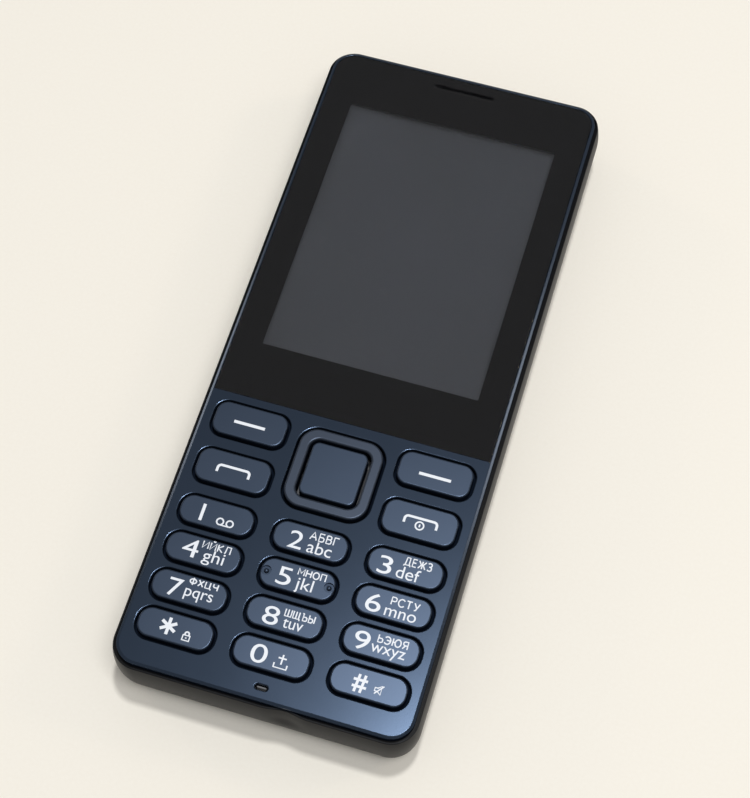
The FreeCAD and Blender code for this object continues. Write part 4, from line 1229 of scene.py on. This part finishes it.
BOWL: Line = [(0.0, 1.0), (0.0, 0.0), (0.4, 0.0), (0.56, 0.1), (0.58, 0.42), (0.42, 0.55), (0.0, 0.55)]
LETTERS: dict[str, tuple[float, list[Line]]] = {
    "А": (0.8, [[(0, 0), (0.4, 1), (0.8, 0)], [(0.14, 0.35), (0.66, 0.35)]]),
    "Б": (0.6, [[(0.56, 1), *BOWL]]),
    "В": (0.6, [BOWL, [(0, 1), (0.36, 1), (0.52, 0.9), (0.52, 0.66), (0.4, 0.55)]]),
    "Г": (0.55, [[(0, 0), (0, 1), (0.55, 1)]]),
    "Д": (0.85, [[(0, -0.18), (0, 0), (0.85, 0), (0.85, -0.18)],
                 [(0.14, 0), (0.26, 1), (0.7, 1), (0.7, 0)]]),
    "Е": (0.52, [[(0.52, 1), (0, 1), (0, 0), (0.52, 0)], [(0, 0.53), (0.46, 0.53)]]),
    "Ж": (1.0, [[(0.5, 0), (0.5, 1)], [(0, 1), (0.36, 0.52), (0, 0)], [(1, 1), (0.64, 0.52), (1, 0)],
                [(0.36, 0.52), (0.64, 0.52)]]),
    "З": (0.56, [[(0, 0.9), (0.16, 1), (0.4, 1), (0.53, 0.88), (0.53, 0.66), (0.38, 0.54),
                  (0.2, 0.54)], [(0.38, 0.54), (0.56, 0.42), (0.56, 0.12), (0.4, 0), (0.16, 0),
                                 (0, 0.1)]]),
    "И": (0.7, [[(0, 1), (0, 0), (0.7, 1), (0.7, 0)]]),
    "Й": (0.7, [[(0, 1), (0, 0), (0.7, 1), (0.7, 0)], [(0.2, 1.27), (0.35, 1.17), (0.5, 1.27)]]),
    "К": (0.62, [[(0, 0), (0, 1)], [(0.6, 1), (0.04, 0.5), (0.62, 0)]]),
    "Л": (0.72, [[(0, 0), (0.12, 0.1), (0.2, 1), (0.72, 1), (0.72, 0)]]),
    "М": (0.84, [[(0, 0), (0, 1), (0.42, 0.3), (0.84, 1), (0.84, 0)]]),
    "Н": (0.68, [[(0, 0), (0, 1)], [(0.68, 0), (0.68, 1)], [(0, 0.52), (0.68, 0.52)]]),
    "О": (0.84, [bow(0.42, 0.5, 0.42, 0.5)]),
    "П": (0.68, [[(0, 0), (0, 1), (0.68, 1), (0.68, 0)]]),
    "Р": (0.58, [[(0, 0), (0, 1), (0.4, 1), (0.58, 0.88), (0.58, 0.58), (0.4, 0.46), (0, 0.46)]]),
    "С": (0.7, [bow(0.42, 0.5, 0.42, 0.5)[2:17]]),
    "Т": (0.68, [[(0, 1), (0.68, 1)], [(0.34, 1), (0.34, 0)]]),
    "У": (0.66, [[(0, 1), (0.36, 0.36)], [(0.66, 1), (0.28, 0.08), (0.1, 0)]]),
    "Ф": (0.84, [bow(0.42, 0.52, 0.42, 0.36), [(0.42, -0.1), (0.42, 1.1)]]),
    "Х": (0.66, [[(0, 0), (0.66, 1)], [(0, 1), (0.66, 0)]]),
    "Ц": (0.74, [[(0, 1), (0, 0), (0.74, 0), (0.74, -0.2)], [(0.6, 1), (0.6, 0)]]),
    "Ч": (0.6, [[(0, 1), (0, 0.62), (0.14, 0.46), (0.6, 0.5)], [(0.6, 1), (0.6, 0)]]),
    "Ш": (0.92, [[(0, 1), (0, 0), (0.92, 0), (0.92, 1)], [(0.46, 1), (0.46, 0)]]),
    "Щ": (1.02, [[(0, 1), (0, 0), (1.02, 0), (1.02, -0.2)], [(0.44, 1), (0.44, 0)],
                 [(0.88, 1), (0.88, 0)]]),
    "Ъ": (0.76, [[(0, 1), (0.18, 1), *[(x + 0.18, y) for x, y in BOWL[1:]], (0.18, 1)]]),
    "Ы": (0.84, [BOWL, [(0.84, 1), (0.84, 0)]]),
    "Ь": (0.58, [BOWL]),
    "Э": (0.7, [[(0.7 - x, y) for x, y in bow(0.42, 0.5, 0.42, 0.5)[2:17]],
                [(0.2, 0.52), (0.68, 0.52)]]),
    "Ю": (1.06, [[(0, 0), (0, 1)], [(0, 0.52), (0.3, 0.52)], bow(0.68, 0.5, 0.38, 0.5)]),
    "Я": (0.6, [[(0.6, 0), (0.6, 1), (0.2, 1), (0.02, 0.86), (0.02, 0.6), (0.2, 0.48),
                 (0.6, 0.48)], [(0.3, 0.48), (0, 0)]]),
}


@dataclass
class Legends:
    """Printed characters and pictograms on the keys, placed from each key's middle."""

    DIGITS = {
        "key_2": ("2", -3.35, -1.1, -1.85), "key_3": ("3", -4.25, -2.05, -1.85),
        "key_4": ("4", -3.35, -0.75, -1.35), "key_5": ("5", -3.25, -0.95, -1.57),
        "key_6": ("6", -4.3, -1.85, -1.75), "key_7": ("7", -3.4, -1.15, -1.65),
        "key_8": ("8", -3.3, -0.8, -1.75), "key_9": ("9", -4.25, -1.8, -1.55),
        "key_0": ("0", -3.2, -0.6, -1.55),
    }
    UPPER = {
        "key_2": ("АБВГ", -0.35, 4.4, 0.25, 1.5), "key_3": ("ДЕЖЗ", -0.5, 4.0, 0.42, 1.45),
        "key_4": ("ИЙКЛ", -0.5, 4.2, 0.6, 1.35), "key_5": ("МНОП", -0.3, 4.3, 0.6, 1.3),
        "key_6": ("РСТУ", -0.6, 4.0, 0.07, 1.45), "key_7": ("ФХЦЧ", -0.45, 4.25, 0.88, 1.2),
        "key_8": ("ШЩЪЫ", -0.2, 4.7, 0.15, 1.35), "key_9": ("ЬЭЮЯ", -0.8, 4.05, 0.25, 1.4),
    }
    LOWER = {
        "key_2": ("abc", -0.2, 3.75, -1.85, 2.0), "key_3": ("def", -1.2, 2.55, -1.85, 1.98),
        "key_4": ("ghi", 0.15, 3.6, -1.32, 1.95), "key_5": ("jkl", -0.05, 2.7, -1.55, 1.92),
        "key_6": ("mno", -1.1, 3.9, -1.77, 1.9), "key_7": ("pqrs", -0.6, 3.95, -1.05, 1.85),
        "key_8": ("tuv", 0.05, 3.2, -1.6, 1.85), "key_9": ("wxyz", -1.45, 4.0, -1.35, 1.85),
    }

    height: float = 12.95
    thickness: float = 0.012
    digit_height: float = 2.9
    bold: float = 0.5
    fine: float = 0.25
    thin: float = 0.21

    def marks(self, key: str) -> Marks:
        """What stands on a key.

        Args:
            key: The key's name.

        Returns:
            Its characters and drawn lines.
        """
        found: Marks = []
        if key in self.DIGITS:
            found.append(Words(*self.DIGITS[key], self.digit_height))
        if key in self.LOWER:
            found.append(Words(*self.LOWER[key]))
        if key in self.UPPER:
            found += self.lettered(*self.UPPER[key])
        return found + self.signs(key)

    def lettered(self, text: str, left: float, right: float, foot: float, tall: float) -> Marks:
        """Draws Cyrillic capitals with lines of even width.

        Args:
            text: The capitals.
            left: Left side of the group.
            right: Right side of the group.
            foot: Height of the base line.
            tall: Height of a capital.

        Returns:
            The lines.
        """
        widths = [LETTERS[letter][0] for letter in text]
        gap = 0.3
        inset = self.thin / 2
        scale = (right - left - self.thin) / (sum(widths) + gap * (len(text) - 1))
        rise = tall - self.thin
        drawn: Marks = []
        start = left + inset
        for letter, width in zip(text, widths):
            for line in LETTERS[letter][1]:
                points = tuple((start + x * scale, foot + inset + y * rise) for x, y in line)
                drawn.append(Stroke(points, self.thin))
            start += (width + gap) * scale
        return drawn

    def signs(self, key: str) -> Marks:
        """The drawn signs of a key.

        Args:
            key: The key's name.

        Returns:
            The lines.
        """
        bold, fine = self.bold, self.fine
        drawn: dict[str, Marks] = {
            "soft_key_left": [Stroke(((-2.6, -0.3), (2.6, -0.3)), bold)],
            "soft_key_right": [Stroke(((-2.5, -0.5), (2.75, -0.5)), bold)],
            "call_key": [Stroke(arch_points(-2.5, 2.75, -0.85, 0.4, 0.55), 0.42)],
            "end_key": [Stroke(arch_points(-2.5, 2.75, -0.65, 0.6, 0.55), 0.4),
                        Stroke(ring_points(0.1, -0.62, 0.66), fine, True),
                        Stroke(((0.1, -0.38), (0.1, -0.86)), fine)],
            "key_1": [Stroke(((-2.3, 1.25), (-2.3, -1.6)), bold),
                      Stroke(ring_points(0.88, -0.92, 0.54), fine, True),
                      Stroke(ring_points(2.47, -0.92, 0.54), fine, True),
                      Stroke(((0.88, -1.46), (2.47, -1.46)), fine)],
            "key_star": self.asterisk(-1.1, 0.07, 1.38) + self.padlock(2.08, -1.0),
            "key_0": [Stroke(((0.75, -0.75), (0.75, -1.45), (2.8, -1.45), (2.8, -0.75)), fine),
                      Stroke(((1.8, 0.75), (1.8, -0.85)), fine),
                      Stroke(((1.15, 0.15), (2.45, 0.15)), fine)],
            "key_hash": self.hash_sign(-1.33, -0.2) + self.muted(1.7, -0.38),
        }
        return drawn.get(key, [])

    def asterisk(self, x: float, y: float, reach: float) -> Marks:
        """Three bold bars crossed at a point.

        Args:
            x: Place of the crossing across the key.
            y: Place of the crossing along the key.
            reach: Half a bar's length.

        Returns:
            The bars.
        """
        bars: Marks = []
        for turn in (30, 90, 150):
            step = (reach * math.cos(math.radians(turn)), reach * math.sin(math.radians(turn)))
            bars.append(Stroke(((x - step[0], y - step[1]), (x + step[0], y + step[1])), self.bold))
        return bars

    def padlock(self, x: float, y: float) -> Marks:
        """Outlined lock with a round shackle and a small slot.

        Args:
            x: Place of its middle across the key.
            y: Place of its middle along the key.

        Returns:
            The lines.
        """
        half, low, high = 0.55, y - 0.42, y + 0.42
        body = ((x - half, low), (x + half, low), (x + half, high), (x - half, high))
        return [Stroke(body, self.fine, True), Stroke(((x, y + 0.08), (x, y - 0.1)), self.fine),
                Stroke(arch_points(x - 0.32, x + 0.32, high, high + 0.55, 0.3), self.fine)]

    def hash_sign(self, x: float, y: float) -> Marks:
        """Two leaning bars across two level ones.

        Args:
            x: Place of its middle across the key.
            y: Place of its middle along the key.

        Returns:
            The lines.
        """
        bars: Marks = []
        apart, lean, tall, wide, rise, width = 0.46, 0.13, 1.42, 1.12, 0.53, 0.42
        for side in (-1, 1):
            middle, level = x + side * apart, y + side * rise
            bars.append(Stroke(((middle - lean, y - tall), (middle + lean, y + tall)), width))
            bars.append(Stroke(((x - wide, level), (x + wide, level)), width))
        return bars

    def muted(self, x: float, y: float) -> Marks:
        """Outlined loudspeaker with a bar across it.

        Args:
            x: Place of its middle across the key.
            y: Place of its middle along the key.

        Returns:
            The lines.
        """
        horn = ((x - 0.62, y - 0.26), (x - 0.62, y + 0.26), (x - 0.17, y + 0.26), (x + 0.4, y + 0.7),
                (x + 0.4, y - 0.7), (x - 0.17, y - 0.26))
        return [Stroke(horn, 0.2, True), Stroke(((x - 0.56, y - 0.7), (x + 0.68, y + 0.75)), 0.2)]

    def build(self, shop: Workshop) -> None:
        """Makes one piece of marks for each key.

        Args:
            shop: The workshop that dresses the pieces.
        """
        for cap in Keypad().caps():
            shape = bmesh.new()
            for mark in self.marks(cap.name):
                part = self.words(mark) if isinstance(mark, Words) else self.stroke(mark)
                shape.from_mesh(part)
                bpy.data.meshes.remove(part)
            bmesh.ops.translate(shape, vec=(cap.x, cap.y, 0), verts=shape.verts)
            shop.piece(cap.name + "_legend", shape, LEGEND, cap.name)

    def baked(self, curve: Curve) -> Mesh:
        """Turns a curve into a mesh.

        Args:
            curve: The curve, which is used up.

        Returns:
            The mesh.
        """
        helper = bpy.data.objects.new("mark", curve)
        bpy.context.scene.collection.objects.link(helper)
        bpy.context.view_layer.update()
        graph = bpy.context.evaluated_depsgraph_get()
        mesh = bpy.data.meshes.new_from_object(helper.evaluated_get(graph))
        bpy.data.objects.remove(helper)
        bpy.data.curves.remove(curve)
        return mesh

    def words(self, mark: Words) -> Mesh:
        """Sets characters so that they fill the space between their sides.

        Args:
            mark: The characters and their place.

        Returns:
            The mesh.
        """
        def typed(text: str) -> Mesh:
            """Sets text at unit size.

            Args:
                text: The characters.

            Returns:
                The mesh.
            """
            curve = bpy.data.curves.new("mark", "FONT")
            curve.body = text
            curve.size = 1.0
            curve.extrude = 0.5
            return self.baked(curve)

        measure = typed("H")
        cap = max(v.co.y for v in measure.vertices)
        bpy.data.meshes.remove(measure)
        mesh = typed(mark.text)
        low = min(v.co.x for v in mesh.vertices)
        high = max(v.co.x for v in mesh.vertices)
        wide = (mark.right - mark.left) / (high - low)
        tall = mark.cap_height / cap
        matrix = (Matrix.Translation((mark.left - low * wide, mark.foot,
                                      self.height + self.thickness / 4))
                  @ Matrix.Diagonal((wide, tall, self.thickness, 1)))
        mesh.transform(matrix)
        return mesh

    def stroke(self, mark: Stroke) -> Mesh:
        """Draws a line as a thin flat bar.

        Args:
            mark: The line.

        Returns:
            The mesh.
        """
        curve = bpy.data.curves.new("mark", "CURVE")
        curve.dimensions = "3D"
        curve.bevel_depth = mark.width / 2
        curve.bevel_resolution = 2
        curve.use_fill_caps = True
        line = curve.splines.new("POLY")
        line.points.add(len(mark.points) - 1)
        for point, (x, y) in zip(line.points, mark.points):
            point.co = (x, y, 0, 1)
        line.use_cyclic_u = mark.closed
        mesh = self.baked(curve)
        flatten = Matrix.Translation((0, 0, self.height)) @ Matrix.Diagonal(
            (1, 1, self.thickness / mark.width, 1))
        mesh.transform(flatten)
        return mesh


# ------------------------------------------------------------------ back details
@dataclass
class BackTrim:
    """The turned ring round the camera window."""

    y: float = 47.4
    inner: float = 3.1
    outer: float = 4.0
    low: float = 0.05
    high: float = 0.6
    edge: float = 0.1
    flank: float = 0.15
    fall: float = 0.02
    groove_half: float = 0.12
    groove_depth: float = 0.05

    def build(self, shop: Workshop) -> None:
        """Makes the ring.

        Args:
            shop: The workshop that dresses the pieces.
        """
        inner, outer, low = self.inner, self.outer, self.low
        middle = (inner + outer) / 2
        profile = [(inner, self.high), (outer, self.high), (outer, low + self.flank),
                   (outer - self.edge, low + self.fall), (middle + self.groove_half, low),
                   (middle, low + self.groove_depth), (middle - self.groove_half, low),
                   (inner + self.edge, low + self.fall), (inner, low + self.flank),
                   (inner, self.high)]
        shape = lathe(profile, (0, self.y), 64)
        shop.piece("camera_trim", shape, TRIM, "rear_cover", ("camera_ring",), 40)


# ------------------------------------------------------------------ studio
@dataclass
class Studio:
    """Floor, light and camera."""

    floor_half: float = 1.6
    screen_centre: Triple = (0.0, 0.0238, 0.0112)
    eye: Triple = (0.0439124, -0.1520368, 0.2719251)
    focal_pixels: float = 1850.0
    picture_height: float = 798.0
    sensor: float = 36.0
    paper: Colour = (243, 238, 227)
    paper_tint: Colour = (247, 243, 233)
    room_light: float = 0.3

    def build(self) -> None:
        """Sets up the whole studio."""
        self.floor()
        self.world()
        self.lamps()
        self.camera()

    def floor(self) -> None:
        """Lays a pale floor under the phone."""
        shape = bmesh.new()
        bmesh.ops.create_grid(shape, x_segments=2, y_segments=2, size=self.floor_half)
        mesh = bpy.data.meshes.new("floor")
        shape.to_mesh(mesh)
        shape.free()
        made = bpy.data.objects.new("floor", mesh)
        bpy.context.scene.collection.objects.link(made)
        paper = bpy.data.materials.new("floor_paper")
        paper.use_nodes = True
        tree = paper.node_tree
        place = node(tree, "TexCoord").outputs["Object"]
        grain = node(tree, "TexNoise", {"Vector": place, "Scale": 1800.0, "Detail": 3.0})
        shade = mixed(tree, grain.outputs["Fac"], linear(*self.paper), linear(*self.paper_tint))
        feed(tree, tree.nodes["Principled BSDF"],
             {"Base Color": shade, "Roughness": 0.9, "Specular IOR Level": 0.1})
        mesh.materials.append(paper)

    def world(self) -> None:
        """Fills the room with soft light."""
        world = bpy.data.worlds.new("room")
        bpy.context.scene.world = world
        world.use_nodes = True
        feed(world.node_tree, world.node_tree.nodes["Background"],
             {"Color": (1.0, 1.0, 1.0, 1.0), "Strength": self.room_light})

    def lamp(self, name: str, place: Triple, size: float, power: float,
             colour: Triple) -> None:
        """Hangs a square lamp that faces the phone.

        Args:
            name: The lamp's name.
            place: Where it hangs, in metres.
            size: Its side.
            power: Its power in watts.
            colour: Its colour.
        """
        light = bpy.data.lights.new(name, "AREA")
        light.size = size
        light.energy = power
        light.color = colour
        holder = bpy.data.objects.new(name, light)
        bpy.context.scene.collection.objects.link(holder)
        holder.location = place
        holder.rotation_euler = Vector(place).to_track_quat("Z", "Y").to_euler()

    def lamps(self) -> None:
        """Hangs the lamps."""
        white, warm = (1.0, 1.0, 1.0), (1.0, 0.8, 0.62)
        self.lamp("near_spot", (0.042, 0.136, 1.0), 0.08, 3.8, white)
        self.lamp("overhead", (0.26, -0.2, 0.95), 0.38, 3.4, white)
        self.lamp("right_strip", (0.71, 0.4, 0.55), 0.14, 0.4, warm)
        self.lamp("left_strip", (-0.86, 0.36, 0.36), 0.14, 0.4, warm)

    def camera(self) -> None:
        """Sets the camera where it looks down on the phone."""
        data = bpy.data.cameras.new("camera")
        data.sensor_width = self.sensor
        data.lens = self.focal_pixels * self.sensor / self.picture_height
        data.clip_start = 0.01
        holder = bpy.data.objects.new("camera", data)
        bpy.context.scene.collection.objects.link(holder)
        turn = Matrix(((0.956432, -0.257113, 0.138311), (0.29159, 0.864887, -0.408589),
                       (-0.01457, 0.431118, 0.902178)))
        place = Vector(self.screen_centre) + Vector(self.eye)
        holder.matrix_world = Matrix.Translation(place) @ turn.to_4x4()
        bpy.context.scene.camera = holder


def main() -> None:
    """Builds every piece in order."""
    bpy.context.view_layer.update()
    bpy.context.scene.view_settings.view_transform = "Standard"
    shop = Workshop(EffectLibrary())
    shop.dress_nodes()
    RearShell().build(shop)
    FrontFace().build(shop)
    Keypad().build(shop)
    Legends().build(shop)
    BackTrim().build(shop)
    Studio().build()


if __name__ == "__main__":
    main()
